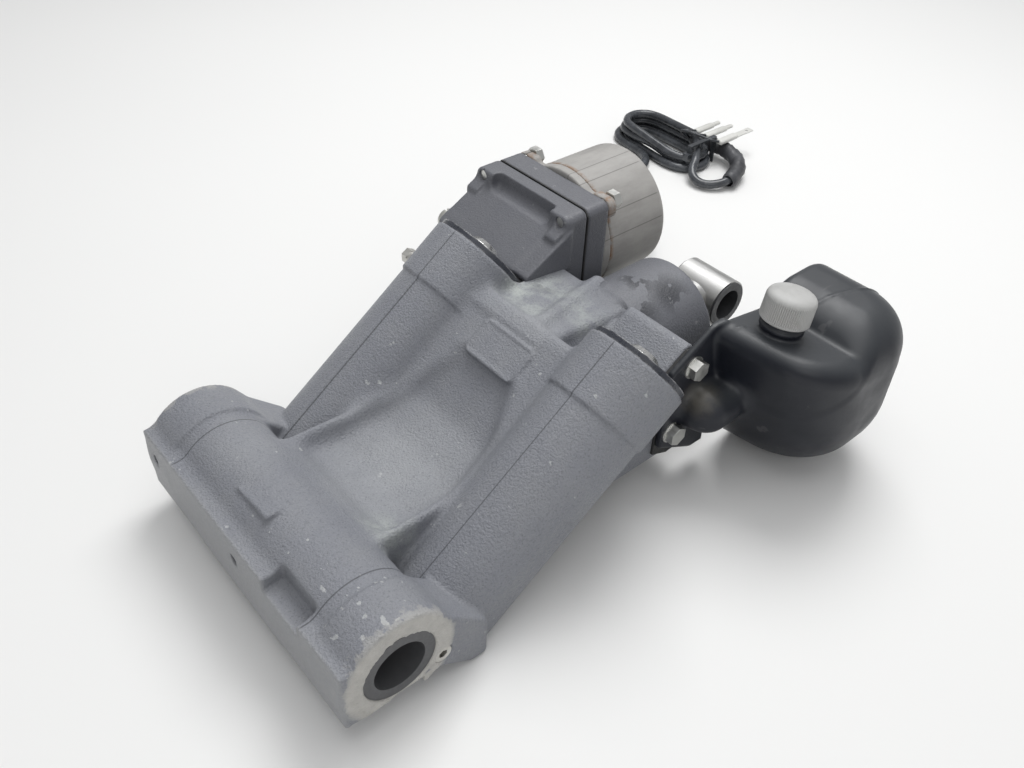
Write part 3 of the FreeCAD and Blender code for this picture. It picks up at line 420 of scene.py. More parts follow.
def cast_material():
    """Slate satin paint on cast aluminium: grain, dusty wear, oxidised and flaked patches; painted light on
    the front face and the scoop floor, painted shade inside the front bolt holes.
    """
    paint = Paint("casting")
    grain = paint.noise(950, 3, 0.6)
    patch = paint.noise(14, 5, 0.62)
    dust = paint.steps(paint.noise(45, 6, 0.6), 0.35, 0.72)
    base = paint.mix(patch, (0.185, 0.193, 0.218), (0.262, 0.271, 0.298))
    base = paint.mix(paint.maths("MULTIPLY", dust, 0.25), base, (0.30, 0.305, 0.31))
    # lighter mottled patches: on the scoop floor this is painted light for the light the scoop catches; on
    # the junction top and the barrel top it lightens the paint
    worn_and_lit = paint.patches("worn_and_lit", paint.noise(26, 5, 0.6), 0.25, 0.75, 0.55, 1.0)
    base = paint.mix(worn_and_lit, base, (0.36, 0.37, 0.385))
    oxide = paint.patches("oxide", paint.noise(80, 8, 0.7), 0.36, 0.66)
    base = paint.mix(oxide, base, (0.41, 0.435, 0.42))
    flake = paint.patches("flake", paint.noise(55, 3, 0.5), 0.50, 0.52)
    base = paint.mix(flake, base, (0.030, 0.033, 0.040))
    more_chips = paint.maths("MULTIPLY", paint.attribute("chip"), 0.09)
    chips = paint.steps(paint.maths("ADD", paint.noise(190, 3, 0.5), more_chips), 0.715, 0.735)
    base = paint.mix(chips, base, (0.42, 0.43, 0.44))
    speck = paint.steps(paint.noise(1150, 2, 0.5), 0.52, 0.68)
    base = paint.mix(paint.maths("MULTIPLY", speck, 0.20), base, (0.34, 0.35, 0.38))
    pits = paint.steps(paint.noise(980, 2, 0.5, (1.1, 0.9, 1)), 0.54, 0.70)
    base = paint.mix(paint.maths("MULTIPLY", pits, 0.30), base, (0.070, 0.072, 0.085))
    # darkened where the dark mask is set; inside the front bolt holes this is painted shade
    dark = paint.maths("MULTIPLY", paint.attribute("dark"), 0.62)
    base = paint.mix(dark, base, (0.056, 0.057, 0.066))
    across = paint.maths("ABSOLUTE", paint.parts(paint.place)[0], 0)
    offset = paint.maths("ABSOLUTE", paint.maths("SUBTRACT", across, SEAM_X * MM), 0)
    line = paint.maths("MULTIPLY", paint.attribute("seam"), paint.steps(offset, 0.0002, 0.0005, 0.75, 0.0))
    base = paint.mix(line, base, (0.055, 0.057, 0.065))
    # front face painted lighter: painted light on the lit front face
    lit_front_face = paint.attribute("lit_front_face")
    base = paint.mix(paint.maths("MULTIPLY", lit_front_face, 0.85), base, (0.330, 0.335, 0.345))
    more_bare = paint.maths("MULTIPLY", paint.attribute("bare"), 0.28)
    bare = paint.patches("bare", paint.maths("ADD", paint.noise(95, 6, 0.65), more_bare), 0.56, 0.64)
    brushed = paint.noise(220, 4, 0.6, (0.12, 1, 1))
    metal = paint.mix(brushed, (0.36, 0.35, 0.33), (0.60, 0.585, 0.55))
    base = paint.mix(bare, base, metal)
    rough = paint.steps(grain, 0.3, 0.7, 0.38, 0.56)
    coarse = paint.steps(paint.attribute("dark"), 0.0, 1.0, 1.0, 0.35)
    paint.bump(paint.maths("MULTIPLY", grain, coarse), 0.85, 0.001)
    paint.bump(paint.noise(150, 4, 0.6), 0.2, 0.001)
    return paint.finish(base, rough, 0.0, Specular_IOR_Level=0.5)


def plain_paint(name, dark, light, rough, grain_scale=500, grain=0.15, wear=None):
    """A painted or anodised surface with soft mottling, grain and rubbed edges."""
    paint = Paint(name)
    base = paint.mix(paint.steps(paint.noise(18, 5, 0.6), 0.3, 0.7), dark, light)
    if wear is not None:
        rub = paint.maths("MULTIPLY", paint.edge_wear(0.0012), paint.steps(paint.noise(120, 4), 0.4, 0.6))
        base = paint.mix(rub, base, wear)
    soft = paint.noise(grain_scale, 3, 0.6)
    paint.soften(0.0004)
    paint.bump(soft, grain, 0.0004)
    return paint.finish(base, paint.steps(soft, 0.3, 0.7, rough - 0.07, rough + 0.08))


def metal_material(name, dark, light, rough, stretch=(1, 1, 1), scale=260, amount=0.25):
    """Machined or plated metal: turning marks, tarnish and fine scratches."""
    paint = Paint(name)
    lines = paint.noise(scale, 4, 0.6, stretch)
    base = paint.mix(lines, dark, light)
    spots = paint.maths("MULTIPLY", paint.steps(paint.noise(60, 6, 0.65), 0.52, 0.72), amount)
    base = paint.mix(spots, base, (0.3, 0.27, 0.22))
    paint.soften(0.0003)
    paint.bump(lines, 0.12, 0.0002)
    return paint.finish(base, paint.steps(lines, 0.3, 0.7, rough - 0.06, rough + 0.1), 1.0)


def motor_material():
    paint = Paint("motor_paint")
    streak = paint.noise(70, 6, 0.65, (1, 0.25, 1))
    base = paint.mix(paint.steps(streak, 0.3, 0.7), (0.27, 0.262, 0.25), (0.36, 0.35, 0.335))
    dust = paint.steps(paint.noise(24, 6, 0.6), 0.45, 0.7)
    base = paint.mix(paint.maths("MULTIPLY", dust, 0.4), base, (0.42, 0.41, 0.39))
    x, y, z = paint.parts(paint.place)
    turn = paint.maths("ARCTAN2", paint.maths("SUBTRACT", x, MOTOR_X * MM),
                       paint.maths("SUBTRACT", z, MOTOR_Z * MM))
    side_only = paint.steps(y, 0.284, 0.287, 1.0, 0.0)
    for place in (-0.42, 0.12, 0.38, 0.95, 1.32):
        away = paint.maths("ABSOLUTE", paint.maths("SUBTRACT", turn, place), 0)
        line = paint.maths("MULTIPLY", side_only, paint.steps(away, 0.004, 0.011, 0.55, 0.0))
        base = paint.mix(line, base, (0.075, 0.07, 0.065))
    rust = paint.patches("rust", paint.noise(130, 6, 0.7), 0.42, 0.62)
    base = paint.mix(rust, base, (0.22, 0.12, 0.06))
    fine = paint.noise(480, 3, 0.6)
    paint.bump(fine, 0.12, 0.0004)
    return paint.finish(base, paint.steps(fine, 0.3, 0.7, 0.56, 0.72))


def tank_material():
    paint = Paint("tank")
    haze = paint.steps(paint.noise(16, 5, 0.6), 0.35, 0.7)
    base = paint.mix(haze, (0.006, 0.008, 0.014), (0.012, 0.014, 0.021))
    # painted top light: faces turned upward are tinted lighter by their normal, standing in for the light
    # from above
    facing = paint.tree.nodes.new("ShaderNodeNewGeometry").outputs["Normal"]
    painted_top_light = paint.maths("MULTIPLY", paint.steps(paint.parts(facing)[2], 0.25, 1.0), paint.steps(
        paint.noise(9, 4, 0.6), 0.2, 0.8, 0.65, 1.0))
    base = paint.mix(painted_top_light, base, (0.046, 0.050, 0.055))
    dust = paint.patches("dust", paint.noise(60, 6, 0.65), 0.40, 0.62)
    base = paint.mix(dust, base, (0.125, 0.112, 0.088))
    scuff = paint.steps(paint.noise(90, 3, 0.5, (1, 0.15, 1)), 0.68, 0.72)
    base = paint.mix(paint.maths("MULTIPLY", scuff, 0.5), base, (0.09, 0.09, 0.095))
    fine = paint.noise(330, 3, 0.55)
    paint.bump(fine, 0.06, 0.0004)
    rough = paint.steps(paint.noise(40, 5, 0.6), 0.3, 0.7, 0.34, 0.48)
    return paint.finish(base, rough, 0.0, Specular_IOR_Level=0.42)


def vinyl_material(name, tone, rough, scale=240):
    paint = Paint(name)
    smudge = paint.steps(paint.noise(50, 5, 0.6), 0.35, 0.7)
    base = paint.mix(smudge, tone, tuple(c * 1.9 + 0.008 for c in tone))
    fine = paint.noise(scale, 4, 0.6)
    paint.bump(fine, 0.15, 0.0005)
    return paint.finish(base, paint.steps(fine, 0.3, 0.7, rough - 0.08, rough + 0.1))


def cap_material():
    paint = Paint("cap")
    grime = paint.steps(paint.noise(70, 6, 0.6), 0.4, 0.7)
    base = paint.mix(grime, (0.45, 0.45, 0.44), (0.37, 0.37, 0.36))
    fine = paint.noise(500, 3, 0.6)
    paint.bump(fine, 0.1, 0.0003)
    return paint.finish(base, paint.steps(fine, 0.3, 0.7, 0.46, 0.6))


def copper_material():
    paint = Paint("winding")
    lines = paint.noise(300, 3, 0.5, (1, 0.1, 1))
    base = paint.mix(lines, (0.35, 0.13, 0.05), (0.62, 0.28, 0.13))
    paint.bump(lines, 0.3, 0.0004)
    return paint.finish(base, paint.steps(lines, 0.3, 0.7, 0.25, 0.4), 1.0)


MATERIALS = {
    "casting": cast_material(),
    "gland": plain_paint("gland", (0.030, 0.033, 0.043), (0.052, 0.056, 0.070), 0.30,
                         wear=(0.55, 0.55, 0.55)),
    "rod": metal_material("rod", (0.60, 0.60, 0.59), (0.70, 0.70, 0.69), 0.24, (1, 0.2, 1), 400, amount=0.05),
    "bush": plain_paint("bush", (0.045, 0.046, 0.050), (0.085, 0.086, 0.09), 0.5),
    "plug": metal_material("plug", (0.50, 0.49, 0.46), (0.68, 0.67, 0.64), 0.42, amount=0.4),
    "seal": plain_paint("seal", (0.012, 0.012, 0.012), (0.03, 0.03, 0.03), 0.6),
    "eye": metal_material("eye", (0.38, 0.38, 0.375), (0.53, 0.53, 0.52), 0.45, (0.15, 1, 1), 320),
    "inner_steel": metal_material("inner_steel", (0.42, 0.42, 0.42), (0.60, 0.60, 0.60), 0.3),
    "bolt": metal_material("bolt", (0.55, 0.55, 0.53), (0.74, 0.74, 0.71), 0.34, amount=0.35),
    "valve_head": metal_material("valve_head", (0.50, 0.50, 0.47), (0.66, 0.66, 0.62), 0.4),
    "gasket": plain_paint("gasket", (0.015, 0.015, 0.015), (0.035, 0.035, 0.035), 0.6),
    "motor_paint": motor_material(),
    "winding": copper_material(),
    "magnet": plain_paint("magnet", (0.05, 0.05, 0.052), (0.10, 0.10, 0.10), 0.55),
    "tank": tank_material(),
    "cap": cap_material(),
    "lead": vinyl_material("lead", (0.036, 0.039, 0.044), 0.22),
    "sleeve": vinyl_material("sleeve", (0.036, 0.037, 0.041), 0.42, 160),
    "terminal": plain_paint("terminal", (0.55, 0.55, 0.52), (0.70, 0.70, 0.67), 0.35),
}


def dress_nodes():
    """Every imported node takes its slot's material."""
    for entry in frame["record"]["subparts"]:
        thing = nodes[entry["node"]]
        thing.data.materials.clear()
        thing.data.materials.append(MATERIALS[entry["material_slot"]])


# ---------------------------------------------------------------- housing


def trim_cylinder(x, y, z, side):
    along, lift = trim_frame(y, z)
    radial = np.hypot(x - side * TRIM_X, lift)
    collar = drum(radial, TRIM_RADIUS, along, -34.9, COLLAR_END, 0.6)
    lower = drum(radial, TRIM_RADIUS - 1.3, along, -152, -20, 4)
    return np.minimum(collar, lower)


def housing_shape(x, y, z):
    along, lift = trim_frame(y, z)
    barrel = drum(np.hypot(y, z), BARREL_RADIUS, x, -HALF_WIDTH + 0.3, HALF_WIDTH - 0.3, 0.8)
    for side in (-1, 1):
        boss = drum(np.hypot(y, z), BOSS_RADIUS, x * side, 66.5, HALF_WIDTH, 1.0)
        barrel = melt(barrel, boss, 1.5)
    front = brick(x, y, z, (-HALF_WIDTH, -28, -19.5), (HALF_WIDTH, -6, 16), 0.8)
    body = melt(barrel, front, 3.0)
    tab = brick(x, y, z, (-20, -12.5, 12), (8, -3, 27.2), 1.0)
    body = melt(body, np.maximum(tab, 0.99 * (z - 27.2 - 0.11 * (x - 8))), 0.8)
    body = carve(body, np.maximum(y - 12, z + 19.5), 1.0)
    body = melt(body, brick(x, y, z, (-42, -27.5, -24), (38, -12, -17), 1.5), 1.5)

    # web between the trim cylinders, its top at an even height above their axes
    web_top = curve_height(y, ((0, 12), (22, 17), (60, 15.5), (88.5, 20.3), (144.5, 60.5), (150, 60.5)))
    web = meet(0.82 * (z - web_top), np.abs(x) - 42, 4)
    web = meet(web, 0.82 * (along + 16.5) + 0.3 * (-lift), 5)
    web = meet(web, -(z + 20), 3)
    web = meet(web, -y, 3)
    trims = np.minimum(trim_cylinder(x, y, z, -1), trim_cylinder(x, y, z, 1))
    body = melt(body, web, 5)
    body = melt(body, trims, 5)
    for side in (-1, 1):
        cheek = meet(brick(x * side, y, z, (62, -5, REST_Z), (HALF_WIDTH, 48, 20), 3),
                     0.7 * (y + 1.05 * z - 37), 2)
        body = melt(body, meet(cheek, -0.78 * (z + 19.5 + 0.72 * (y - 18)), 2), 2)

    tilt = drum(np.hypot(x, z - TILT_Z), TILT_RADIUS, y, 120, TILT_END, 1.0)
    body = melt(body, tilt, 7)
    saddle_top = 53.5 - 0.11 * (y - 150)
    junction = meet(z - saddle_top, np.abs(x + 15) - 30, 5)
    junction = meet(junction, np.maximum(138 - y, np.maximum(y - 203, -z)), 3)
    start, run = np.array((2.0, 150.0, 52.5)), np.array((-16.0, 58.0, -6.0))
    travel = (x - start[0]) * run[0] + (y - start[1]) * run[1] + (z - start[2]) * run[2]
    share = np.clip(travel / (run @ run), 0, 1)
    rib = np.sqrt(sum((v - a - share * b) ** 2 for v, a, b in zip((x, y, z), start, run))) - 4.2
    junction = melt(junction, rib, 4)
    for side in (-1, 1):
        clear = drum(np.hypot(x - side * TRIM_X, lift), 28.5, along, COLLAR_END, 60, 0.5)
        junction = carve(junction, clear, 1)
    body = melt(body, junction, 6)
    foot = brick(x, y, z, (-26, 226, REST_Z), (26, 250, -10), 2)
    body = melt(body, foot, 4)

    # block that carries the reservoir, and the one under the pump
    block_top = curve_height(y, ((120, -8), (176, 36.5), (187, 44.5), (199, 52.7), (203, 52), (206, 49)))
    block = meet(0.84 * (z - block_top), np.abs(x - 39) - 21, 1.2)
    block_end = y - 206 - 9 * np.clip((32 - z) / 6, 0, 1)
    block = meet(block, np.maximum(0.6 * block_end, -(z + 20)), 3)
    block = meet(meet(block, 0.9 * (y - 208 - 0.25 * (z + 16)), 1.5), 112 - y, 2)
    body = melt(body, block, 3)
    pump_top = curve_height(y, ((120, -8), (165, 26), (180, 31), (203, 31)))
    saddle = meet(0.84 * (z - pump_top), np.abs(x + 32) - 14, 1.5)
    saddle = meet(saddle, np.maximum(np.maximum(y - 202.5, 112 - y), -(z + 17)), 1.5)
    body = melt(body, saddle, 4)

    # scooped recess between the cylinders
    floor = curve_height(y, ((24, 17.5), (33, 8), (50, 5), (75, 9), (96, 18), (112, 32), (124, 45)))
    half = curve_height(y, ((20, 38), (70, 36), (100, 29), (124, 17)))
    scoop = meet(0.8 * (floor - 1.5 - z), np.abs(x) - half, 10)
    scoop = meet(scoop, np.maximum(y - 125, 23 - y), 5)
    body = carve(body, scoop, 4)

    # blank maker's pad on the web
    pad = brick(x, along, lift, (-18.5, -49, 6), (18.5, -28, 11.6), 1.0)
    corner = np.hypot(np.maximum(np.abs(x) - 14.5, 0), np.maximum(np.abs(along + 38.5) - 6.5, 0)) - 4
    body = melt(body, np.maximum(pad, corner), 1.2)
    rim = brick(x, along, lift, (-16.6, -47.1, 11.1), (16.6, -29.9, 14), 0.4)
    body = carve(body, rim, 0.5)

    # parting seams along the tops of the trim cylinders
    for side in (-1, 1):
        seam = brick(x - side * TRIM_X, along, lift, (-0.8, -150, 20), (0.8, -35, TRIM_RADIUS - 0.8), 0.4)
        body = melt(body, seam, 0.9)

    # machine work and mould pockets
    flat = np.abs(x) - 85.7
    body = np.where((y > 50) & (along < -81), np.maximum(body, flat), body)
    body = carve(body, brick(x, y, z, (28, -32, 8.5), (57, -16.5, 32), 2), 0.6)
    body = np.maximum(body, REST_Z - z)
    body = np.maximum(body, -drum(np.hypot(y, z), BUSH_RADIUS, x, -100, 100, 0.1))
    for side in (-1, 1):
        body = np.maximum(body, -drum(np.hypot(y, z), BUSH_FLANGE_RADIUS, x * side, HALF_WIDTH - 2, 100, 0.1))
        body = np.maximum(body, -drum(np.hypot(y - 22, z + 12.5), 4.5, x * side, HALF_WIDTH - 12, 100, 0.1))
        gland = drum(np.hypot(x - side * TRIM_X, lift), TRIM_GLAND_RADIUS, along, -17, 10, 0.1)
        body = np.maximum(body, -gland)
    for hole_x in (-80, 0):
        body = np.maximum(body, -drum(np.hypot(x - hole_x, z - 3), BOLT_RADIUS, y, -40, -13, 0.1))
    body = np.maximum(body, -drum(np.hypot(x, z - TILT_Z), TILT_GLAND_RADIUS, y, 234, 270, 0.1))
    return body


def smooth_patch(points, centre, radius):
    """1 at the centre, falling to 0 at the radius; points and centre in millimetres."""
    gap = np.linalg.norm((points - np.array(centre)) / np.array(radius), axis=1)
    return np.clip(1.4 * (1 - gap), 0, 1)


def housing():
    low = HOUSING_LOW - 2
    high = HOUSING_HIGH + 2
    piece = sculpt("housing_casting", housing_shape, low, high, 1.25, "unit", "casting",
                   ("cylinder_housing",))
    points = mesh_points(piece)
    x, y, z = points.T
    along, lift = trim_frame(y, z)
    ring = np.clip(1.1 - (HALF_WIDTH - x) / 9, 0, 1) * np.clip((30 - np.hypot(y, z)) / 4, 0, 1)
    left_ring = np.clip(1.1 - (HALF_WIDTH + x) / 5, 0, 1) * np.clip((30 - np.hypot(y, z)) / 4, 0, 1)
    top_line = (np.abs(np.abs(x) - TRIM_X) < 6) & (lift > 15) & (along < -4)
    masks = {
        "bare": np.maximum(ring, left_ring),
        # the front face, where the casting material paints light
        "lit_front_face": np.clip((-y - 26.6) / 0.8, 0, 1),
        # darker towards the tilt cylinder's end; the second term darkens the walls of the two front bolt
        # holes as painted shade
        "dark": np.maximum(np.clip((y - 188) / 30, 0, 0.75) * (np.hypot(x, z - TILT_Z) < TILT_RADIUS + 3),
                           1.6 * ((y > -27.2) & (y < -12) & (np.abs(z - 3) < 3.2) & (np.abs(y + 20) < 7.6)
                                  & ((np.abs(x + 80) < 3.2) | (np.abs(x) < 3.2)))),
        "seam": top_line.astype(float),
        "chip": np.maximum(smooth_patch(points, (72, -8, 26), (34, 34, 34)),
                           0.9 * ((y < -24) & (z > 12.5))),
        "oxide": np.maximum.reduce([smooth_patch(points, (-22, 168, 50), (34, 34, 20)),
                                    smooth_patch(points, (34, 32, 10), (19, 16, 16)),
                                    smooth_patch(points, (0, 176, 47), (26, 20, 8))]),
        "flake": np.maximum.reduce([smooth_patch(points, (18, 208, 44), (14, 22, 12)),
                                    smooth_patch(points, (14, 236, 44), (16, 16, 12)),
                                    smooth_patch(points, (0, 226, 47), (16, 10, 8)),
                                    smooth_patch(points, (-26, 178, 40), (18, 16, 14))]),
        # lighter patches on upward faces; the scoop floor patch is painted light
        "worn_and_lit": np.maximum.reduce([smooth_patch(points, (0, 66, 8), (46, 56, 22)) * 0.75,
                                   smooth_patch(points, (0, 150, 58), (40, 14, 12)) * 0.5,
                                   smooth_patch(points, (-40, 4, 24), (26, 18, 12)) * 0.4]),
    }
    for name, values in masks.items():
        mask(piece, name, values)


# ---------------------------------------------------------------- pump and motor


def stack_outline(x, z, shrink=0.0, corner=5.0):
    """Distance outside the square outline that the flange, gasket and adapter share."""
    reach_x = np.abs(x - MOTOR_X) - (40 - shrink - corner)
    reach_z = np.abs(z - (MOTOR_Z - 1.1)) - (37.7 - shrink - corner)
    return (np.minimum(np.maximum(reach_x, reach_z), 0)
            + np.hypot(np.maximum(reach_x, 0), np.maximum(reach_z, 0)) - corner)


def bolt_places():
    return [(MOTOR_X + sx * 33.5, MOTOR_Z + sz * 32.5) for sx in (-1, 1) for sz in (-1, 1)]


def pump_shape(x, y, z):
    plate = meet(stack_outline(x, z), np.abs(y - 211) - 8, 2.4)
    slope = (z - 67.5) * math.cos(math.radians(28)) - (y - 201) * math.sin(math.radians(28))
    chin = -0.8 * (y - 174) - 0.6 * (z - 50)
    front = meet(slope, melt(186 - y, chin, 4), 2.5)
    front = meet(front, y - 206, 1)
    block = meet(meet(front, 2.4 - z, 2), np.abs(x + 79) - 33, 3)
    ramp = meet(meet(front, 46 - z, 4), np.abs(x + 73.2) - 39.2, 1.2)
    body = melt(melt(block, ramp, 3), plate, 3.5)
    for side in (-1, 1):
        rib = meet(slope - 2.6, np.abs(x - MOTOR_X - side * 34.6) - 4.6, 1.4)
        rib = meet(rib, np.maximum(195 - y, np.maximum(y - 210, 52 - z)), 1.4)
        body = melt(body, rib, 1.6)
    relief = brick(x, y, z, (MOTOR_X - 25, 194, 68.2), (MOTOR_X + 25, 209.3, 96), 3.5)
    body = carve(body, relief, 0.8)
    body = np.maximum(body, -drum(np.hypot(x - MOTOR_X, z - MOTOR_Z + 7), 20, y, 191, 230, 0.1))
    for bolt_x, bolt_z in bolt_places():
        body = np.maximum(body, -drum(np.hypot(x - bolt_x, z - bolt_z), BOLT_RADIUS, y, 200, 240, 0.1))
    valve = np.hypot(y - VALVE_Y, z - VALVE_Z)
    boss = drum(valve, 8.6, x, -112.8, -98, 1.2)
    body = melt(body, boss, 3)
    body = np.maximum(body, -drum(valve, 5, x, -130, -82.5, 0.1))
    body = np.maximum(body, -drum(valve, 3, x, -130, -72.5, 0.1))
    body = np.maximum(body, -drum(np.hypot(y - 193.5, z - 8), 3.05, x, -130, -40, 0.1))
    return np.maximum(body, -drum(np.hypot(x - MOTOR_X, y - 200), 4.5, z, 1.5, 27.5, 0.1))


def adapter_shape(x, y, z):
    body = meet(stack_outline(x, z, 0.2), np.abs(y - 227.9) - 8.1, 1.8)
    body = np.maximum(body, -drum(np.hypot(x - MOTOR_X, z - MOTOR_Z), 11, y, 200, 260, 0.1))
    for bolt_x, bolt_z in bolt_places():
        body = np.maximum(body, -drum(np.hypot(x - bolt_x, z - bolt_z), BOLT_RADIUS, y, 200, 260, 0.1))
    return body


def ear_shape(x, y, z):
    radial = np.hypot(x - MOTOR_X, z - MOTOR_Z)
    disc = drum(radial, CAN_RADIUS, y, 236, 242, 0.8)
    body = disc
    for bolt_x, bolt_z in bolt_places():
        body = melt(body, drum(np.hypot(x - bolt_x, z - bolt_z), 8.5, y, 236, 242, 1.2), 7)
    body = np.minimum(meet(body, stack_outline(x, z, 0.2), 1), disc)
    body = np.maximum(body, -drum(radial, 30, y, 230, 250, 0.1))
    for bolt_x, bolt_z in bolt_places():
        body = np.maximum(body, -drum(np.hypot(x - bolt_x, z - bolt_z), BOLT_RADIUS, y, 230, 250, 0.1))
    return np.maximum(body, np.maximum(236 - y, y - 242))


def can_shape(x, y, z):
    radial = np.hypot(x - MOTOR_X, z - MOTOR_Z)
    shell = drum(radial, CAN_RADIUS - 0.1, y, 236, 290, 4.5)
    shell = np.maximum(shell, 242 - y)
    rim = drum(radial, CAN_RADIUS, y, 242, 245, 0.8)
    shell = melt(shell, rim, 0.5)
    inside = drum(radial, CAN_RADIUS - 2, y, 200, 288, 2.5)
    shell = np.maximum(shell, -inside)
    shell = np.minimum(shell, drum(radial, 10.5, y, 281, 289, 0.3))
    shell = np.maximum(shell, -drum(radial, 8, y, 270, 287, 0.1))
    return np.maximum(shell, -drum(np.hypot(x + 84, z - 18), 5, y, 280, 300, 0.1))


def pump_and_motor():
    pump = sculpt("pump_casting", pump_shape, (-118, 170, 0), (-32, 221, 80), 0.9, "unit", "casting",
                  ("pump_housing",))
    plate = sculpt("adapter_plate", adapter_shape, (-118, 218, 0), (-33, 238, 80), 1.0, "unit", "casting",
                   ("motor_adapter",))
    ears = sculpt("motor_ears", ear_shape, (-118, 234, 0), (-33, 244, 80), 0.9, "unit", "motor_paint",
                  ("motor_flange",))
    can = sculpt("motor_shell", can_shape, (-117, 240, 0), (-34, 292, 82), 1.1, "unit", "motor_paint",
                 ("motor_can",))
    for piece in (pump, plate):
        mask(piece, "dark", np.ones(len(piece.data.vertices)))
    x, _, z = mesh_points(ears).T
    near = np.min([np.hypot(x - bolt_x, z - bolt_z) for bolt_x, bolt_z in bolt_places()], axis=0)
    mask(ears, "rust", np.clip(1.3 - near / 9, 0, 1))
    mask(can, "rust", np.clip((245 - mesh_points(can)[:, 1]) / 3, 0, 1))


def mesh_points(piece):
    points = np.zeros(len(piece.data.vertices) * 3)
    piece.data.vertices.foreach_get("co", points)
    return points.reshape(-1, 3) / MM


def mask(piece, name, values):
    data = piece.data.attributes.new(name, "FLOAT", "POINT")
    data.data.foreach_set("value", np.asarray(values, np.float32))


# ---------------------------------------------------------------- reservoir

def tank_solid(x, y, z):
    """Outside of the reservoir without its neck and lug: a low shoulder in front, a hump behind."""
    sides = round_meet(x - 128.6, REST_Z - z, 46)
    front = 0.14 * (x - 62) - 0.95 * (y - 213) - 0.27 * (z - 55)
    sides = round_meet(round_meet(sides, front, 26), y - 313.5, 34)
    shoulder = (z - 62.5 + 0.173 * (y - 212)) / 1.015
    low = round_meet(sides, shoulder, 12)
    step = 0.707 * (z - 55 - (y - 256))
    hump = round_meet(round_meet(sides, z - 66.5, 24), step, 8)
    return round_meet(melt(low, hump, 2), TANK_FACE - x, 5)


def tank_shape(x, y, z):
    dx, dy, dz = x - NECK_FOOT[0], y - NECK_FOOT[1], z - NECK_FOOT[2]
    along = dy * NECK_AXIS[1] + dz * NECK_AXIS[2]
    radial = np.sqrt(np.maximum(dx ** 2 + dy ** 2 + dz ** 2 - along ** 2, 0))
    body = tank_solid(x, y, z)
    line = np.maximum(np.abs(y - 268 - 3.2 * (x - 86)) / 3.35 - 0.7, 40 - z)
    outside = melt(body, np.maximum(np.maximum(body - 0.5, line), 60 - z), 0.6)
    lug = brick(x, y, z, (TANK_FACE, 184, -22), (65.3, 222, 61.5), 1.0)
    lug = meet(lug, 0.8 * (z - 44 - 0.62 * (y - 184)), 2)
    lug = meet(lug, 0.85 * (-7 - z - 0.55 * (y - 184)), 2)
    outside = melt(outside, lug, 3)
    outside = melt(outside, drum(np.hypot(y - PORT_Y, z - PORT_Z), 9.8, x, 62, 77, 6), 8)
    run = drum(np.hypot(x - 75, z - PORT_Z), 10.5, y, 201, 226, 8)
    outside = melt(outside, run, 12)
    outside = melt(outside, drum(radial, NECK_RADIUS, along, -4, 19, 0.5), 1.5)
    outside = melt(outside, drum(radial, NECK_RADIUS + 1.2, along, 2.0, 4.4, 0.5), 0.6)
    inside = body + 2.5
    shell = np.maximum(outside, -inside)
    shell = np.maximum(shell, -drum(radial, NECK_BORE, along, -12, 30, 0.1))
    for bolt_y, bolt_z in TANK_BOLTS:
        hole = drum(np.hypot(y - bolt_y, z - bolt_z), BOLT_RADIUS + 0.05, x, 55, 70, 0.1)
        shell = np.maximum(shell, -hole)
    port = drum(np.hypot(y - PORT_Y, z - PORT_Z), PORT_RADIUS, x, 55, 76, 0.1)
    shell = np.maximum(shell, -port)
    return np.maximum(np.maximum(shell, REST_Z - z), TANK_FACE - x)


def lathe(name, profile, base, axis, segments, body, slot_name, stands_for=(), ripples=0):
    """A closed profile of (radius, height, ripple depth) turned about an axis, in millimetres."""
    axis = np.array(axis, float)
    across = np.cross(axis, (1, 0, 0.01))
    across /= np.linalg.norm(across)
    third = np.cross(axis, across)
    angle = np.arange(segments) * 2 * np.pi / segments
    rings = []
    for radius, height, ripple in profile:
        r = radius - ripple * (0.5 + 0.5 * np.cos(ripples * angle)) ** 1.6
        rings.append(np.array(base) + axis * height
                     + (r * np.cos(angle))[:, None] * across + (r * np.sin(angle))[:, None] * third)
    points = np.concatenate(rings)
    count = len(profile)
    i, j = np.meshgrid(np.arange(count), np.arange(segments), indexing="ij")
    ahead, beside = (i + 1) % count, (j + 1) % segments
    quads = np.stack([i * segments + j, i * segments + beside,
                      ahead * segments + beside, ahead * segments + j], -1).reshape(-1, 4)
    piece = quad_mesh(name, points * MM, quads)
    piece.data.set_sharp_from_angle(angle=math.radians(40))
    settle(piece, body, slot_name, stands_for)
    return piece


def filler_cap():
    lift, height = 7.0, 16.5
    profile = [(10.75, lift, 0), (12.5, lift, 0), (CAP_RADIUS, lift + 0.5, 0), (CAP_RADIUS, lift + 1.3, 0)]
    profile += [(CAP_RADIUS, lift + 1.7, 0.62), (12.9, lift + 11.6, 0.62), (12.8, lift + 12.2, 0.2)]
    profile += [(12.5, lift + 13.2, 0), (11.8, lift + 14.2, 0), (10.4, lift + 15.1, 0), (8.4, lift + 15.7, 0),
                (6.0, lift + 16.1, 0), (3.0, lift + 16.4, 0), (0.01, height + lift, 0)]
    profile += [(0.01, lift + 14.2, 0), (10.0, lift + 14.2, 0), (10.75, lift + 13.7, 0)]
    lathe("cap_knurled", profile, NECK_FOOT, NECK_AXIS, 576, "cap_turn", "cap", ("filler_cap",), ripples=72)


def reservoir():
    piece = sculpt("reservoir_moulding", tank_shape, (58, 182, -37), (132, 317, 81), 1.1, "unit", "tank",
                   ("reservoir_tank",))
    mask(piece, "dust", smooth_patch(mesh_points(piece), (72, 202, 24), (12, 14, 12)) * 0.55)
    filler_cap()


# ---------------------------------------------------------------- motor lead

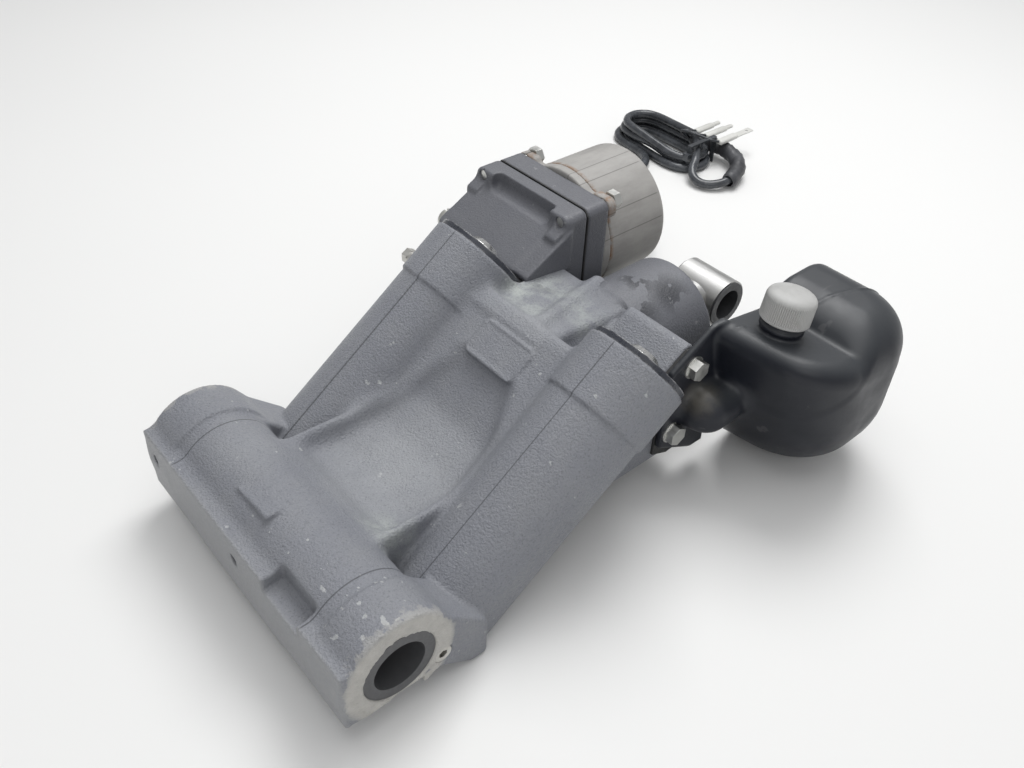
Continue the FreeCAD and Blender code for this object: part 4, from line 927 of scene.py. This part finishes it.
LEAD_ROUTE = [                               # centre line from the grommet to the hank, metres
    (-0.0840, 0.2980, 0.0180),
    (-0.0870, 0.3260, 0.0140),
    (-0.0980, 0.3520, -0.0060),
    (-0.1170, 0.3720, -0.0250),
    (-0.1430, 0.3910, -0.0315),
    (-0.1690, 0.4120, -0.0315),
    (-0.1880, 0.4380, -0.0315),
    (-0.2020, 0.4625, -0.0315),
]
TURN_ROUND = [                               # out of the hank and back towards the taped end
    (-0.1600, 0.4740, -0.0200),
    (-0.1560, 0.4640, -0.0265),
    (-0.1460, 0.4590, -0.0300),
    (-0.1345, 0.4630, -0.0305),
]
SLEEVE_ROUTE = [                             # centre line of the taped end
    (-0.1920, 0.5030, -0.0240),
    (-0.1770, 0.5120, -0.0240),
    (-0.1590, 0.5140, -0.0240),
    (-0.1420, 0.5075, -0.0250),
    (-0.1305, 0.4940, -0.0265),
    (-0.1270, 0.4770, -0.0280),
]
# one row for each stretch of the hank: share of a turn at its end, half length, half width,
# height of the centre line, and how far its middle is shifted; millimetres
HANK_ROWS = [
    (0.10, 46.0, 21.0, -31.5, (0.0, 0.0)),
    (0.85, 46.0, 21.0, -31.5, (0.0, 0.0)),
    (1.15, 38.2, 14.1, -31.5, (-0.6, 0.3)),
    (1.75, 38.2, 14.1, -31.5, (-0.6, 0.3)),
    (2.00, 39.5, 14.8, -24.0, (0.4, 0.4)),
    (2.25, 43.5, 18.6, -24.0, (1.4, 0.8)),
    (2.85, 42.5, 18.0, -24.2, (-1.0, 1.5)),
    (3.10, 40.5, 17.5, -17.0, (1.5, 1.0)),
    (3.66, 41.5, 16.8, -16.8, (2.5, -0.6)),
]
HANK_MIDDLE = (-208.0, 485.0)
STEPS_PER_TURN = 18


def stadium(half_length, half_width, turn):
    """A point on a round-ended loop; a turn starts at the middle of the near run, towards -X."""
    run = half_length - half_width
    bend = math.pi * half_width
    s = (turn % 1.0) * (4 * run + 2 * bend)
    if s < run:
        return -s, -half_width
    s -= run
    if s < bend:
        return -run - half_width * math.sin(s / half_width), -half_width * math.cos(s / half_width)
    s -= bend
    if s < 2 * run:
        return s - run, half_width
    s -= 2 * run
    if s < bend:
        return run + half_width * math.sin(s / half_width), half_width * math.cos(s / half_width)
    return run - (s - bend), -half_width


def hank_points():
    """The hank, in metres: three and a half turns that differ in size and lie on each other."""
    at = [row[0] for row in HANK_ROWS]
    points = []
    first, last = (int(HANK_ROWS[end][0] * STEPS_PER_TURN) + 1 for end in (0, -1))
    for index in range(first, last):
        turn = index / STEPS_PER_TURN
        half_length, half_width, height = (float(np.interp(turn, at, [row[i] for row in HANK_ROWS]))
                                           for i in (1, 2, 3))
        shift_x, shift_y = (float(np.interp(turn, at, [row[4][i] for row in HANK_ROWS])) for i in (0, 1))
        dx, dy = stadium(half_length, half_width, turn)
        points.append(((HANK_MIDDLE[0] + shift_x + dx) * MM, (HANK_MIDDLE[1] + shift_y + dy) * MM,
                       height * MM))
    return points


def nurbs(name, points, radius):
    data = bpy.data.curves.new(name, "CURVE")
    data.dimensions = "3D"
    spline = data.splines.new("NURBS")
    spline.points.add(len(points) - 1)
    for target, point in zip(spline.points, points):
        target.co = (*point, 1)
        target.radius = radius
    spline.order_u = 3
    spline.use_endpoint_u = True
    spline.resolution_u = 8
    data.bevel_depth = 1.0 if radius else 0.0
    data.bevel_resolution = 6
    data.use_fill_caps = True
    tube = bpy.data.objects.new(name, data)
    bpy.context.scene.collection.objects.link(tube)
    return tube


def centre_line(points):
    """Points along the NURBS line through a route's control points, in metres."""
    guide = nurbs("guide", points, 0.0)
    guide.data.use_fill_caps = False
    shape = bpy.data.meshes.new_from_object(guide)
    line = np.array([vertex.co[:] for vertex in shape.vertices])
    bpy.data.meshes.remove(shape)
    bpy.data.objects.remove(guide)
    return line


def wrapped_tube(name, points, radius, pitch, ridge, slot_name, stands_for=(), ring=40, step=0.0005):
    """A tube about a route, wound with tape whose edge makes a slanting ridge."""
    line = centre_line(points)
    reach = np.concatenate([[0], np.cumsum(np.linalg.norm(np.diff(line, axis=0), axis=1))])
    spots = np.arange(0, reach[-1], step)
    line = np.stack([np.interp(spots, reach, line[:, i]) for i in range(3)], 1)
    for _ in range(6):
        line[1:-1] = (line[:-2] + line[1:-1] * 2 + line[2:]) / 4
    heading = np.gradient(line, axis=0)
    heading /= np.linalg.norm(heading, axis=1)[:, None]
    side = np.cross(heading, (0, 0, 1.0))
    side /= np.linalg.norm(side, axis=1)[:, None]
    above = np.cross(side, heading)
    angle = np.arange(ring) * 2 * np.pi / ring
    phase = (spots[:, None] / pitch + angle[None] / (2 * np.pi)) % 1.0
    fade = np.clip(np.minimum(spots, spots[-1] - spots) / 0.003, 0, 1)[:, None] ** 0.5
    r = (radius - ridge * phase ** 0.6) * (0.72 + 0.28 * fade)
    r = r + 0.25 * MM * np.sin(angle[None] * 3 + spots[:, None] * 260)
    points = (line[:, None] + (r * np.cos(angle))[..., None] * side[:, None]
              + (r * np.sin(angle))[..., None] * above[:, None]).reshape(-1, 3)
    rows = len(spots)
    i, j = np.meshgrid(np.arange(rows - 1), np.arange(ring), indexing="ij")
    beside = (j + 1) % ring
    quads = np.stack([i * ring + j, (i + 1) * ring + j, (i + 1) * ring + beside, i * ring + beside],
                     -1).reshape(-1, 4)
    piece = quad_mesh(name, points, quads[:, ::-1])
    settle(piece, "unit", slot_name, stands_for)
    return piece


def terminal_shape(x, y, z):
    """Two sheathed bullets and one flat spade at the end of the lead."""
    bullets = []
    for middle, end in ((-187.5, 534.0), (-176.5, 538.0)):
        across = np.hypot(x - middle, 1.5 * (z + 14.95))
        sheath = drum(across, 3.3, y, 503, end - 9, 1.4)
        bullet = drum(across, 2.3, y, end - 12, end, 1.2)
        bullets.append(melt(sheath, bullet, 0.8) * 0.7)
    sheath = brick(x, y, z, (-165.4, 503, -17.0), (-158.6, 526, -12.9), 1.9)
    spade = brick(x, y, z, (-165.2, 523, -15.6), (-158.6, 546, -14.4), 0.5)
    spade = np.maximum(spade, -(np.hypot(x + 162, y - 540) - 1.3))
    return np.minimum(np.minimum(*bullets), melt(sheath, spade, 0.5))


def motor_lead():
    taped = wrapped_tube("lead_taped_end", SLEEVE_ROUTE, 6.7 * MM, 6.5 * MM, 0.7 * MM, "sleeve",
                         ("lead_sleeve",))
    route = LEAD_ROUTE + hank_points() + TURN_ROUND + SLEEVE_ROUTE[::-1]
    lead = nurbs("motor_lead_cord", route, 3.5 * MM)
    settle(lead, "unit", "lead", ("motor_lead", "lead_hank"))
    ends = sculpt("lead_blades", terminal_shape, (-192.5, 501, -18), (-157, 548, -11.5), 0.45, "unit",
                  "terminal", ("lead_terminals",))
    for index, (x, lift) in enumerate(((-187.5, 0.0), (-176.5, 0.4), (-162.0, 0.8))):
        start = (-0.1915 + 0.0016 * (index - 1), 0.5028 - 0.001 * index, -0.0225)
        turn = [(-0.1965, 0.4975 - 0.002 * index, -0.0155),
                (-0.1925, 0.4925 - 0.001 * index, -0.0125 + lift * MM)]
        over = [((x * MM - 0.1925) / 2, 0.4935, -0.0118 + lift * MM), (x * MM, 0.4975, -0.0125),
                (x * MM, 0.5060, -0.0149)]
        wire = nurbs(f"lead_wire_{index + 1}", [start, *turn, *over], 1.1 * MM)
        settle(wire, "unit", "lead")
    line = centre_line(route)


def main():
    camera()
    motor_lead()
    studio()
    dress_nodes()
    housing()
    pump_and_motor()
    reservoir()


main()
